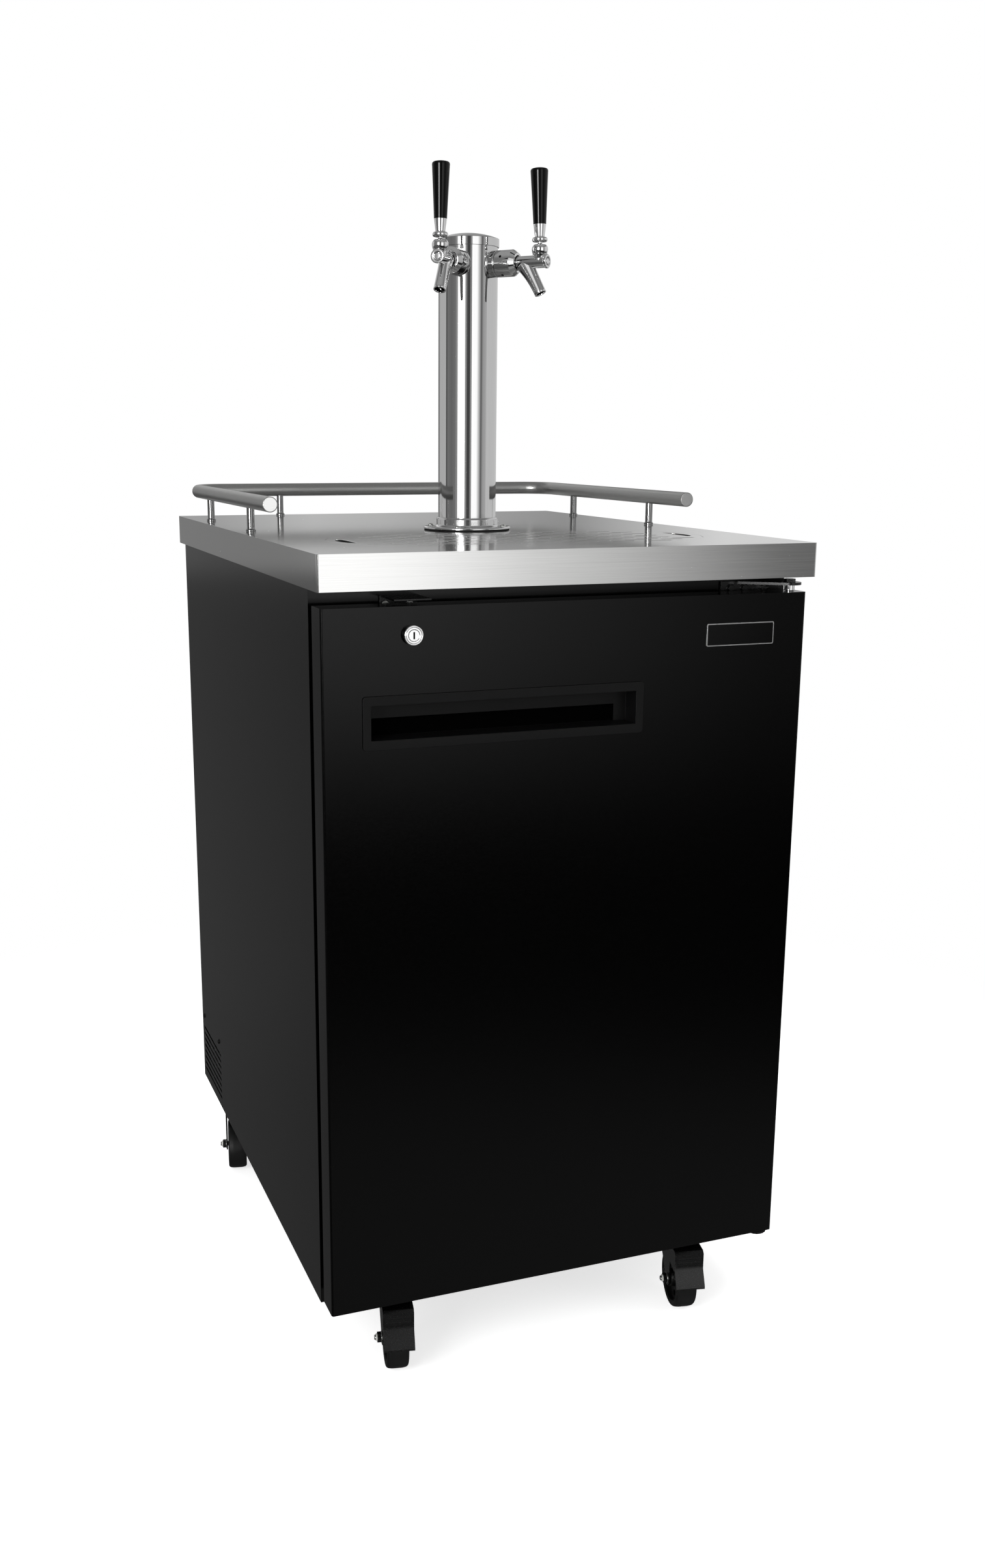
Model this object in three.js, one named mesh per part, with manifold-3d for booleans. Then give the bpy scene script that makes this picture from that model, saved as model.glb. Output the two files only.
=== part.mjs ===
import * as THREE from "three";
import { mergeVertices } from "three/addons/utils/BufferGeometryUtils.js";
import Module from "manifold-3d";

// Keg cooler on casters with a two-tap draft tower, in millimetres.
// X runs to the right facing the door, Y to the back and Z up from the floor.
// The origin is on the floor, midway between the sides and the ends of the worktop.

const wasm = await Module();
wasm.setup();

// Fits and facets
const seatGap = 0.3;
const slideGap = 0.5;
const overrun = 2;
const weldDistance = 0.001;
const fineSides = 20;
const roundSides = 12;
const smallSides = 8;

// Cabinet
const casterHeight = 102;
const cabinetWidth = 599;
const cabinetDepth = 723;
const cabinetHeight = 866;
const foamWall = 45;
const sheetWall = 1.5;
const basePlate = 3;
const linerWall = 1.2;

// Machine compartment under a step in the floor of the keg compartment
const stepDepth = 158;
const stepHeight = 173;
const stepWall = 35;

// Side vents
const ventSlots = 8;
const ventPitch = 10.15;
const ventHeight = 4.2;
const ventLength = 128;
const ventFromBack = 13;
const ventFromBottom = 15;

// Worktop
const worktopSideOverhang = 5.5;
const worktopDepth = 800;
const worktopThickness = 40;
const worktopCorner = 3;
const worktopOverhang = 60;

// Door
const doorThickness = 35.3;
const doorSetback = 10;
const doorTopGap = 18.35;
const doorBottomGap = 9.6;
const doorEdgeRadius = 3;
const doorLinerInset = 35.1;
const doorLinerThickness = 10;
const doorLinerRadius = 20;
const gasketInset = 12.4;
const gasketWidth = 22;
const gasketRadius = 10;

// Pull pocket
const pullWidth = 340;
const pullHeight = 60;
const pullFromLeft = 45.5;
const pullFromTop = 96.65;
const pullFrameSide = 9.6;
const pullFrameBand = 10.8;
const pullProud = 1.6;
const pullRadius = 4;
const pullDepth = 29;
const pullWall = 1.5;
const pullLipDepth = 4;
const pullLipDrop = 18.5;
const pullEndLip = 16;

// Lock
const lockFromLeft = 102.9;
const lockFromTop = 31.35;
const lockHeadRadius = 11.2;
const lockHeadProud = 7;
const lockBodyRadius = 9;
const lockPlugRadius = 6.2;
const lockGrooveDepth = 0.8;
const lockGrooveShare = 0.8;
const keySlotHalf = 1;
const keySlotReach = 4;
const keySlotDepth = 9;
const lockCavityRadius = 14.6;
const lockCavityDepth = 6;
const lockCavityFromFront = 22;
const camThickness = 4;
const camHubRadius = 4;
const camArm = 10;
const camTipRadius = 2.9;
const boltRadius = 2.5;
const boltFoot = 4.7;
const boltChamfer = 0.9;

// Strike over the door top
const strikeWidth = 44;
const strikeHeight = 18;
const strikeThickness = 3;
const strikeDropBelowTop = 11;
const tongueThickness = 2;
const tongueLength = 42;
const tongueWidth = 43;
const tongueShift = 5.5;

// Hinges
const hingeAxisFromRight = 12.5;
const hingeAxisFromFront = 18;
const hingePlateWidth = 87;
const hingePlateHeight = 22;
const hingePlateThickness = 3;
const hingePlateFromRight = 2.5;
const hingeTopGap = 8;
const hingeArmThickness = 3;
const hingePinRadius = 4;
const hingePinLength = 18;
const hingeBushingRadius = 6;
const hingeEyeRadius = 14;
const hingeEyeReach = 4;
const hingeNutRadius = 7;
const hingeNutHeight = 4;
const lowerPlateHeight = 17.5;
const lowerPlateGap = 0.5;
const lowerArmRise = 3;

// Guard rail and its posts
const railDiameter = 19.05;
const railHeight = 38.7;
const railSideInset = 20;
const railBackInset = 22;
const railFrontEnd = 285.5;
const railBend = 45;
const railSides = 12;
const railBendSteps = 5;
const postDiameter = 10;
const postRingDiameter = 13;
const postRingHeight = 2;
const postFrontFromFront = 394;
const postMiddleFromFront = 649;
const postBackSpread = 152;

// Tower
const towerFromFront = 365.1;
const columnRadius = 38.1;
const columnWall = 2;
const columnHeight = 355.6;
const towerGasketThickness = 1.2;
const towerGasketRadius = 56.5;
const flangeRadius = 57.7;
const flangeThickness = 3;
const flangeEdgeShare = 0.6;
const collarRadius = 40.7;
const collarHeight = 11.3;
const collarFillet = 2;
const capRadius = 39.6;
const capSkirt = 10.6;
const capCrown = 3.2;
const capTop = 2.5;
const capSpigotDepth = 10;
const capOverlap = 3.7;
const capDomeShares = [[0, 1], [0.55, 0.86], [0.86, 0.5], [0.97, 0]];
const ductRadius = 30;

// Taps
const tapAngle = 40;
const shankBelowTop = 24.8;
const shankRadius = 11;
const shankBore = 4;
const shankInnerEnd = 20;
const shankOuterEnd = 60;
const shankCollarRadius = 16.3;
const shankCollarEnd = 44.3;
const shankCollarRootShare = 0.85;
const shankNutRadius = 14;
const shankNutLength = 5;
const shankNutBack = 4;
const couplingEnd = 72;
const couplingChamfer = 5.4;
const couplingFrontRadius = 12;
const couplingLip = 9;
const couplingNotchRadius = 2.4;
const couplingNotchDepth = 2.6;
const tailFlangeRadius = 13;
const tailFlangeThickness = 3.7;
const barrelRadius = 7.7;
const barrelBore = 4.5;
const barrelEnd = 114;
const barrelCapLength = 3;
const barrelCapRadius = 8.5;
const spoutRoot = 80;
const spoutReach = 24.4;
const spoutDrop = 38.2;
const spoutRootHalf = 12;
const spoutTipHalf = 7.4;
const spoutRootSide = 7.4;
const spoutTipSide = 7.3;
const spoutWall = 1.2;
const spoutBendShares = [0.525, 0.45];
const spoutSteps = 4;
const spoutBoreStartShare = 0.36;
const bonnetFromFront = 11.5;
const neckRadius = 8;
const neckHeight = 9.1;
const bonnetRadius = 10;
const bonnetHeight = 10.5;
const bonnetChamfer = 2;
const bonnetTopRadius = 7.6;
const bonnetMouthRadius = 5.4;
const leverArm = 15.4;
const leverBallRadius = 6;
const leverTipRadius = 1.8;
const leverTipPast = 1;
const leverStemRadius = 2.6;
const leverCollarBottom = 7.5;
const leverCollarEdge = 10;
const leverCollarTop = 13.2;
const leverCollarRadius = 9.5;
const leverCollarFootRadius = 5;
const leverStudRadius = 3;
const leverStudTop = 26;
const leverLean = 1.5;
const leverPull = 25;
const leverBallSteps = 6;
const notchHalf = 3.9;
const notchBelowAxis = 1.6;
const shaftFrom = 68;
const ferruleFootRadius = 6;
const ferruleTopRadius = 7.85;
const ferruleHeight = 15.2;
const gripFootRadius = 8.05;
const gripTopRadius = 11;
const gripHeight = 62.6;
const gripDome = 3;
const gripDomeShares = [[0, 1], [0.45, 0.9], [0.82, 0.5], [1, -0.5]];

// Drip tray
const trayFromFront = 187;
const trayHalfLength = 240;
const trayHalfWidth = 116;
const gridThickness = 2.5;
const trayLedge = 8;
const trayWall = 1.5;
const trayDepth = 20;
const gridSlotLength = 30;
const gridSlotWidth = 6.5;
const gridColumnPitch = 24.4;
const gridRowPitch = 17;
const gridSlotMargin = 6;
const gridRows = 12;
const fingerFlat = 215;
const fingerHalf = 34.5;
const fingerBulge = 14;
const fingerClearShare = 1.6;

// Casters
const wheelRadius = 38;
const wheelWidth = 28.6;
const wheelBore = 4.6;
const wheelHubRadius = 11;
const wheelRimRadius = 29;
const wheelWebHalf = 8;
const wheelTyreEdge = 3.2;
const wheelHoleRadius = 4;
const wheelHoles = 5;
const wheelSides = 16;
const casterTrail = 34;
const casterTurn = 12;
const casterFrontFromSide = 100.5;
const casterFrontFromFront = 90;
const casterRearFromSide = 29.5;
const casterRearFromBack = 121;
const casterPlateLong = 66;
const casterPlateShort = 48;
const casterPlateThickness = 2.5;
const raceRadius = 22;
const raceHeight = 6;
const raceFootShare = 0.9;
const kingpinRadius = 4;
const kingpinHeadRadius = 7;
const kingpinHeadHeight = 2.5;
const forkCrownRadius = 24;
const forkCrownThickness = 3;
const forkLegThickness = 2;
const forkSideGap = 0.7;
const forkNose = 46;
const forkTail = 14;
const forkNoseDepth = 13;
const forkBossRadius = 10;
const axleRadius = 4;
const axleNutRadius = 6.5;
const axleNutLength = 7;
const axleNutShare = 0.8;
const axleHeadLength = 3.5;
const pedalPivotY = 40;
const pedalPivotZ = 84;
const pedalPinRadius = 2;
const pedalSheet = 1.8;
const pedalTop = 97;
const pedalBack = 45;
const pedalFace = 75;
const pedalKnee = 72;
const pedalFootY = 85.5;
const pedalFootZ = 49;
const pedalCheekDrop = 76;
const pedalRibHeight = 0.8;
const pedalRibWidth = 2;
const pedalRibShares = [0.17, 0.37, 0.6];

// Cooling machinery
const fanHubRadius = 16;
const fanPinRadius = 3;
const fanBlades = 4;
const fanBladeThickness = 2;
const fanBladeRootShare = 0.35;
const fanBladePitch = 20;
const evaporatorFromSide = 129.5;
const evaporatorFromRoof = 23;
const evaporatorHeight = 200;
const evaporatorDepth = 60;
const evaporatorBore = 64;
const evaporatorRotor = 60;
const evaporatorSlots = 5;
const fanGuardThickness = 3;
const fanMotorLength = 21;
const fanRotorLength = 16;
const fanPinPast = 3;
const condenserDepth = 30;
const condenserWidth = 130;
const condenserHeight = 130;
const condenserFromSide = 5;
const condenserFromFront = 14;
const condenserFins = 5;
const condenserFinShare = 0.45;
const condenserBorder = 10;
const shroudDepth = 34;
const shroudBore = 54;
const condenserRotor = 50;
const compressorFromSide = 149.5;
const compressorRadius = 58;
const compressorHeight = 140;
const compressorWaist = 62;
const compressorBaseHalf = 68;
const compressorFootHeight = 12;
const compressorFootRadius = 9;
const potFootShare = 0.7;
const potKneeShare = 0.18;
const potShoulderShare = 0.94;
const potShoulderDropShare = 0.22;
const potCrownShare = 0.6;
const potCrownDropShare = 0.04;
const glandFromSide = 179.5;
const glandHeight = 28;
const glandRadius = 9;
const glandBore = 4.5;
const glandLength = 12;
const coverSlots = 5;
const coverSlotHeight = 5;
const coverSlotLength = 220;
const coverMargin = 20;

// Levels and faces that follow from the sizes
const worktopWidth = cabinetWidth + 2 * worktopSideOverhang;
const worktopFront = -worktopDepth / 2;
const worktopBack = worktopDepth / 2;
const cabinetFront = worktopFront + worktopOverhang;
const cabinetBack = cabinetFront + cabinetDepth;
const cabinetBottom = casterHeight;
const worktopUnderside = cabinetBottom + cabinetHeight;
const worktopTop = worktopUnderside + worktopThickness;
const cabinetTop = worktopUnderside - seatGap;
const sideFace = cabinetWidth / 2;
const cavityHalf = sideFace - foamWall;
const cavityFloor = cabinetBottom + foamWall;
const cavityRoof = worktopUnderside - foamWall;
const cavityBack = cabinetBack - foamWall;
const stepFront = cavityBack - stepDepth;
const stepTop = cavityFloor + stepHeight;
const machineFront = stepFront + stepWall;
const machineRoof = stepTop - stepWall;
const machineFloor = cabinetBottom + basePlate;
const machineHalf = sideFace - sheetWall;
const evaporatorHalf = sideFace - evaporatorFromSide;
const compressorX = sideFace - compressorFromSide;
const glandX = glandFromSide - sideFace;
const doorFront = worktopFront + doorSetback;
const doorBack = doorFront + doorThickness;
const doorBottom = cabinetBottom + doorBottomGap;
const doorTop = worktopUnderside - doorTopGap;
const towerY = worktopFront + towerFromFront;
const trayY = worktopFront + trayFromFront;
const hingeX = sideFace - hingeAxisFromRight;
const hingeY = doorFront + hingeAxisFromFront;
const lockX = -sideFace + lockFromLeft;
const lockZ = doorTop - lockFromTop;
const cavityLockFront = doorFront + lockCavityFromFront;
const cavityLockBack = cavityLockFront + lockCavityDepth;
const boltY = (cavityLockFront + cavityLockBack) / 2;

// Materials
function paint(color, roughness, metalness) {
  return new THREE.MeshStandardMaterial({ color, roughness, metalness });
}
const blackPaint = paint(0x232323, 0.42, 0.2);
const blackPlastic = paint(0x161616, 0.5, 0);
const darkRubber = paint(0x1a1a1a, 0.85, 0);
const tyreBlack = paint(0x202020, 0.8, 0);
const brushedSteel = paint(0xb9b9b9, 0.33, 1);
const polishedSteel = paint(0xcfcfcf, 0.12, 1);
const chromePlate = paint(0xe2e2e2, 0.06, 1);
const glossBlack = paint(0x0b0b0b, 0.12, 0);
const bracketBlack = paint(0x1c1c1c, 0.45, 0.3);
const casterBlack = paint(0x1b1b1b, 0.4, 0.3);
const linerWhite = paint(0xdcdcdc, 0.4, 0);
const galvanised = paint(0x9fa2a3, 0.5, 0.8);
const aluminiumPlain = paint(0xbcbfc0, 0.45, 0.9);

// Solids from closed geometries
function solidOf(geometry) {
  const bare = geometry.clone();
  bare.deleteAttribute("normal");
  bare.deleteAttribute("uv");
  const welded = mergeVertices(bare, weldDistance);
  const points = welded.getAttribute("position").array;
  const corners = welded.index.array;
  const kept = [];
  let volume = 0;
  const a = new THREE.Vector3();
  const b = new THREE.Vector3();
  const c = new THREE.Vector3();
  for (let i = 0; i < corners.length; i += 3) {
    const [p, q, r] = [corners[i], corners[i + 1], corners[i + 2]];
    if (p === q || q === r || r === p) continue;
    a.fromArray(points, p * 3);
    b.fromArray(points, q * 3);
    c.fromArray(points, r * 3);
    volume += a.dot(b.cross(c));
    kept.push(p, q, r);
  }
  const triVerts = new Uint32Array(kept);
  if (volume < 0) triVerts.reverse();
  const vertProperties = new Float32Array(points);
  return new wasm.Manifold(new wasm.Mesh({ numProp: 3, vertProperties, triVerts }));
}
const asSolid = (shape) => (shape.isBufferGeometry ? solidOf(shape) : shape);
function join(...shapes) {
  return shapes.map(asSolid).reduce((whole, next) => whole.add(next));
}
function cut(body, ...tools) {
  return tools.map(asSolid).reduce((left, tool) => left.subtract(tool), asSolid(body));
}
function piece(name, shape, material) {
  const data = asSolid(shape).getMesh();
  const geometry = new THREE.BufferGeometry();
  geometry.setAttribute("position", new THREE.BufferAttribute(new Float32Array(data.vertProperties), 3));
  geometry.setIndex(new THREE.BufferAttribute(new Uint32Array(data.triVerts), 1));
  geometry.computeVertexNormals();
  const mesh = new THREE.Mesh(geometry, material.clone());
  mesh.name = name;
  return mesh;
}

// Outlines and the forms drawn from them
function outline(points) {
  return new THREE.Shape(points.map(([x, y]) => new THREE.Vector2(x, y)));
}
function arcPoints(x, y, radius, fromDegrees, toDegrees, steps) {
  const points = [];
  for (let i = 0; i <= steps; i += 1) {
    const turn = THREE.MathUtils.degToRad(fromDegrees + ((toDegrees - fromDegrees) * i) / steps);
    points.push([x + radius * Math.cos(turn), y + radius * Math.sin(turn)]);
  }
  return points;
}
function roundedRectangle(x0, x1, y0, y1, radius, steps = 5) {
  return [
    ...arcPoints(x1 - radius, y0 + radius, radius, -90, 0, steps),
    ...arcPoints(x1 - radius, y1 - radius, radius, 0, 90, steps),
    ...arcPoints(x0 + radius, y1 - radius, radius, 90, 180, steps),
    ...arcPoints(x0 + radius, y0 + radius, radius, 180, 270, steps),
  ];
}
function stadium(halfLength, halfWidth, y, steps = 12) {
  const straight = halfLength - halfWidth;
  return [
    ...arcPoints(straight, y, halfWidth, -90, 90, steps),
    ...arcPoints(-straight, y, halfWidth, 90, 270, steps),
  ];
}
function extrudeUp(shape, z0, z1) {
  const geometry = new THREE.ExtrudeGeometry(shape, { depth: z1 - z0, bevelEnabled: false });
  return geometry.translate(0, 0, z0);
}
function extrudeBack(shape, y0, y1) {
  const geometry = new THREE.ExtrudeGeometry(shape, { depth: y1 - y0, bevelEnabled: false });
  return geometry.rotateX(Math.PI / 2).translate(0, y1, 0);
}
function extrudeAcross(shape, x0, x1) {
  const geometry = new THREE.ExtrudeGeometry(shape, { depth: x1 - x0, bevelEnabled: false });
  const along = new THREE.Vector3(1, 0, 0);
  const back = new THREE.Vector3(0, 1, 0);
  const up = new THREE.Vector3(0, 0, 1);
  return geometry.applyMatrix4(new THREE.Matrix4().makeBasis(back, up, along)).translate(x0, 0, 0);
}
function box(x0, x1, y0, y1, z0, z1) {
  const geometry = new THREE.BoxGeometry(x1 - x0, y1 - y0, z1 - z0);
  return geometry.translate((x0 + x1) / 2, (y0 + y1) / 2, (z0 + z1) / 2);
}
function turned(profile, sides) {
  const points = profile.map(([radius, height]) => new THREE.Vector2(radius, height));
  return new THREE.LatheGeometry(points, sides).rotateX(Math.PI / 2);
}
function ringProfile(points) {
  return [...points, points[0]];
}
function rod(radius, z0, z1, sides) {
  return turned([[0, z0], [radius, z0], [radius, z1], [0, z1]], sides);
}
function tube(inner, outer, z0, z1, sides) {
  return turned(ringProfile([[inner, z0], [outer, z0], [outer, z1], [inner, z1]]), sides);
}
// The radius of a few-sided bore in which a pin of the same few sides can turn
const turningBore = (pinRadius) => (pinRadius + seatGap) / Math.cos(Math.PI / smallSides);
const pointBack = (geometry) => geometry.rotateX(-Math.PI / 2);
const pointForward = (geometry) => geometry.rotateX(Math.PI / 2);
const pointAcross = (geometry) => geometry.rotateY(Math.PI / 2);

// A closed skin over rings of points, each ring with the same count
function loft(rings) {
  const count = rings[0].length;
  const points = rings.flat().flatMap((point) => [point.x, point.y, point.z]);
  const faces = [];
  for (let ring = 0; ring + 1 < rings.length; ring += 1) {
    for (let i = 0; i < count; i += 1) {
      const a = ring * count + i;
      const b = ring * count + ((i + 1) % count);
      faces.push(a, b, b + count, a, b + count, a + count);
    }
  }
  const last = (rings.length - 1) * count;
  for (let i = 1; i + 1 < count; i += 1) {
    faces.push(0, i + 1, i);
    faces.push(last, last + i, last + i + 1);
  }
  const geometry = new THREE.BufferGeometry();
  geometry.setAttribute("position", new THREE.BufferAttribute(new Float32Array(points), 3));
  geometry.setIndex(faces);
  return geometry;
}

// A path that an extrusion follows station by station
class StationPath extends THREE.Curve {
  constructor(stations) {
    super();
    this.stations = stations;
  }
  station(share) {
    return this.stations[Math.round(share * (this.stations.length - 1))];
  }
  getPoint(share) {
    return this.station(share).point.clone();
  }
  getPointAt(share) {
    return this.station(share).point.clone();
  }
  getTangentAt(share) {
    return this.station(share).tangent.clone();
  }
}

// A fan rotor about Z with its hub bore open, from z0 up
function fanRotor(radius, length) {
  const parts = [tube(fanPinRadius + seatGap, fanHubRadius, 0, length, roundSides)];
  const root = fanHubRadius * (1 - fanBladeRootShare / 2);
  const chord = fanHubRadius * (1 + fanBladeRootShare);
  for (let i = 0; i < fanBlades; i += 1) {
    const blade = box(root, radius, -chord / 2, chord / 2, -fanBladeThickness / 2, fanBladeThickness / 2);
    blade.rotateX(THREE.MathUtils.degToRad(fanBladePitch));
    blade.translate(0, 0, length / 2);
    blade.rotateZ((2 * Math.PI * i) / fanBlades);
    parts.push(blade);
  }
  return join(...parts);
}

// A guard of four spokes across a bore, with a motor and its pin behind it, along Z
function fanCarrier(bore, guard, motor, pin) {
  const spokes = [0, 1].map((turn) => {
    const bar = box(-bore - overrun, bore + overrun, -guard, guard, 0, guard);
    return bar.rotateZ(Math.PI / 4 + (turn * Math.PI) / 2);
  });
  const hub = rod(fanHubRadius, 0, guard + motor, roundSides);
  const spindle = rod(fanPinRadius, guard + motor - overrun, guard + motor + pin, smallSides);
  return join(...spokes, hub, spindle);
}

// Cabinet case, liner and rear cover
function compartment(front, inset) {
  return outline([
    [front, cavityFloor + inset],
    [stepFront - inset, cavityFloor + inset],
    [stepFront - inset, stepTop + inset],
    [cavityBack - inset, stepTop + inset],
    [cavityBack - inset, cavityRoof - inset],
    [front, cavityRoof - inset],
  ]);
}
function cabinetPieces() {
  const duct = rod(ductRadius, cavityRoof - overrun * 2, worktopTop + overrun, roundSides);
  duct.translate(0, towerY, 0);
  const shell = box(-sideFace, sideFace, cabinetFront, cabinetBack, cabinetBottom, cabinetTop);
  const hollow = extrudeAcross(compartment(cabinetFront - overrun, 0), -cavityHalf, cavityHalf);
  const machine = box(
    -machineHalf, machineHalf, machineFront, cabinetBack + overrun, machineFloor, machineRoof);
  const vents = [];
  for (let i = 0; i < ventSlots; i += 1) {
    const z = cabinetBottom + ventFromBottom + i * ventPitch;
    const y = cabinetBack - ventFromBack;
    vents.push(box(-sideFace - overrun, sideFace + overrun, y - ventLength, y, z, z + ventHeight));
  }
  const caseSolid = cut(shell, hollow, machine, duct, ...vents);

  const linerHalf = cavityHalf - seatGap;
  const skin = extrudeAcross(compartment(cabinetFront, seatGap), -linerHalf, linerHalf);
  const inside = extrudeAcross(
    compartment(cabinetFront - overrun, seatGap + linerWall),
    linerWall - linerHalf, linerHalf - linerWall);
  const liner = cut(skin, inside, duct);

  const coverBack = cabinetBack;
  const coverFront = coverBack - sheetWall;
  const plate = box(
    seatGap - machineHalf, machineHalf - seatGap, coverFront, coverBack,
    machineFloor + seatGap, machineRoof - seatGap);
  const glandZ = machineFloor + glandHeight;
  const gland = pointBack(rod(glandRadius, 0, glandLength + sheetWall, roundSides));
  gland.translate(glandX, coverFront, glandZ);
  const glandHole = pointBack(rod(glandBore, -overrun, glandLength + sheetWall + overrun, smallSides));
  glandHole.translate(glandX, coverFront, glandZ);
  const louvres = [];
  const slotSpan = machineRoof - machineFloor - 2 * coverMargin;
  for (let i = 0; i < coverSlots; i += 1) {
    const z = machineFloor + coverMargin + (slotSpan * i) / coverSlots;
    louvres.push(box(
      machineHalf - coverMargin - coverSlotLength, machineHalf - coverMargin,
      coverFront - overrun, coverBack + overrun, z, z + coverSlotHeight));
  }
  const rearCover = cut(join(plate, gland), glandHole, ...louvres);

  return [
    piece("cabinet_case", caseSolid, blackPaint),
    piece("inner_liner", liner, linerWhite),
    piece("rear_cover", rearCover, blackPaint),
  ];
}

// Evaporator cover with its fan, on the back wall of the keg compartment
function evaporatorPieces() {
  const back = cavityBack - 2 * seatGap - linerWall;
  const front = back - evaporatorDepth;
  const top = cavityRoof - evaporatorFromRoof;
  const bottom = top - evaporatorHeight;
  const middle = (top + bottom) / 2;
  const shell = box(-evaporatorHalf, evaporatorHalf, front, back, bottom, top);
  const inside = box(
    sheetWall - evaporatorHalf, evaporatorHalf - sheetWall, front + fanGuardThickness, back + overrun,
    bottom + sheetWall, top - sheetWall);
  const bore = pointBack(rod(evaporatorBore, -overrun, evaporatorDepth / 2, fineSides));
  bore.translate(0, front, middle);
  const slots = [];
  for (let i = 0; i < evaporatorSlots; i += 1) {
    const span = 2 * (evaporatorHalf - coverMargin);
    const x = -span / 2 + (span * (i + 1 / 4)) / evaporatorSlots;
    slots.push(box(
      x, x + span / evaporatorSlots / 2, front + evaporatorDepth / 3, back - evaporatorDepth / 3,
      bottom - overrun, bottom + sheetWall + overrun));
  }
  const carrier = pointBack(asGeometry(fanCarrier(
    evaporatorBore, fanGuardThickness, fanMotorLength, seatGap + fanRotorLength + fanPinPast)));
  carrier.translate(0, front, middle);
  const cover = join(cut(shell, inside, bore, ...slots), carrier);
  const rotor = asGeometry(fanRotor(evaporatorRotor, fanRotorLength));
  const fan = piece("evaporator_fan", pointBack(rotor), blackPlastic);
  fan.position.set(0, front + fanGuardThickness + fanMotorLength + seatGap, middle);
  return [piece("evaporator_cover", cover, linerWhite), fan];
}

// A solid's triangles again as a three.js geometry, to be turned and placed
function asGeometry(solid) {
  const data = solid.getMesh();
  const geometry = new THREE.BufferGeometry();
  geometry.setAttribute("position", new THREE.BufferAttribute(new Float32Array(data.vertProperties), 3));
  geometry.setIndex(new THREE.BufferAttribute(new Uint32Array(data.triVerts), 1));
  return geometry;
}

// Condenser, its fan and the compressor, in the machine compartment
function machinePieces() {
  const left = -machineHalf + condenserFromSide;
  const right = left + condenserDepth;
  const front = machineFront + condenserFromFront;
  const back = front + condenserWidth;
  const bottom = machineFloor + seatGap;
  const top = bottom + condenserHeight;
  const gaps = [];
  const span = condenserWidth - 2 * condenserBorder;
  for (let i = 0; i < condenserFins; i += 1) {
    const y = front + condenserBorder + (span * i) / condenserFins;
    gaps.push(box(
      left - overrun, right + overrun, y, y + (span * (1 - condenserFinShare)) / condenserFins,
      bottom + condenserBorder, top - condenserBorder));
  }
  const middleY = (front + back) / 2;
  const middleZ = (bottom + top) / 2;
  const shroud = box(right - seatGap, right + shroudDepth, front, back, bottom, top);
  const bore = pointAcross(rod(shroudBore, 0, shroudDepth + overrun * 2, fineSides));
  bore.translate(right - seatGap - overrun, middleY, middleZ);
  const motor = shroudDepth - fanGuardThickness - fanRotorLength - fanPinPast - 2 * seatGap;
  const carrier = pointAcross(asGeometry(fanCarrier(
    shroudBore, fanGuardThickness, motor, seatGap + fanRotorLength + fanPinPast / 2)));
  carrier.rotateZ(Math.PI);
  carrier.translate(right + shroudDepth, middleY, middleZ);
  const core = box(left, right, front, back, bottom, top);
  const condenser = join(cut(core, ...gaps), cut(shroud, bore), carrier);
  const rotor = asGeometry(fanRotor(condenserRotor, fanRotorLength));
  const fan = piece("condenser_fan", pointAcross(rotor), blackPlastic);
  const fanX = right + shroudDepth - fanGuardThickness - motor - seatGap - fanRotorLength;
  fan.position.set(fanX, middleY, middleZ);

  const y = (machineFront + cabinetBack - sheetWall) / 2;
  const footTop = machineFloor + seatGap + compressorFootHeight;
  const potTop = footTop + basePlate + compressorHeight;
  const pot = turned([
    [0, footTop],
    [compressorRadius * potFootShare, footTop],
    [compressorRadius, footTop + compressorHeight * potKneeShare],
    [compressorRadius, footTop + compressorWaist],
    [compressorRadius + basePlate, footTop + compressorWaist],
    [compressorRadius + basePlate, footTop + compressorWaist + basePlate],
    [compressorRadius, footTop + compressorWaist + basePlate],
    [compressorRadius * potShoulderShare, potTop - compressorHeight * potShoulderDropShare],
    [compressorRadius * potCrownShare, potTop - compressorHeight * potCrownDropShare],
    [0, potTop],
  ], roundSides);
  const base = box(
    -compressorBaseHalf, compressorBaseHalf, -compressorBaseHalf, compressorBaseHalf,
    footTop, footTop + basePlate);
  const spread = compressorBaseHalf - compressorFootRadius;
  const feet = [[1, 1], [1, -1], [-1, 1], [-1, -1]].map(([u, v]) => {
    const foot = rod(compressorFootRadius, machineFloor + seatGap, footTop + basePlate / 2, smallSides);
    return foot.translate(u * spread, v * spread, 0);
  });
  const compressor = piece("compressor", join(pot, base, ...feet), blackPlastic);
  compressor.position.set(compressorX, y, 0);
  return [piece("condenser", condenser, aluminiumPlain), fan, compressor];
}

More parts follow.
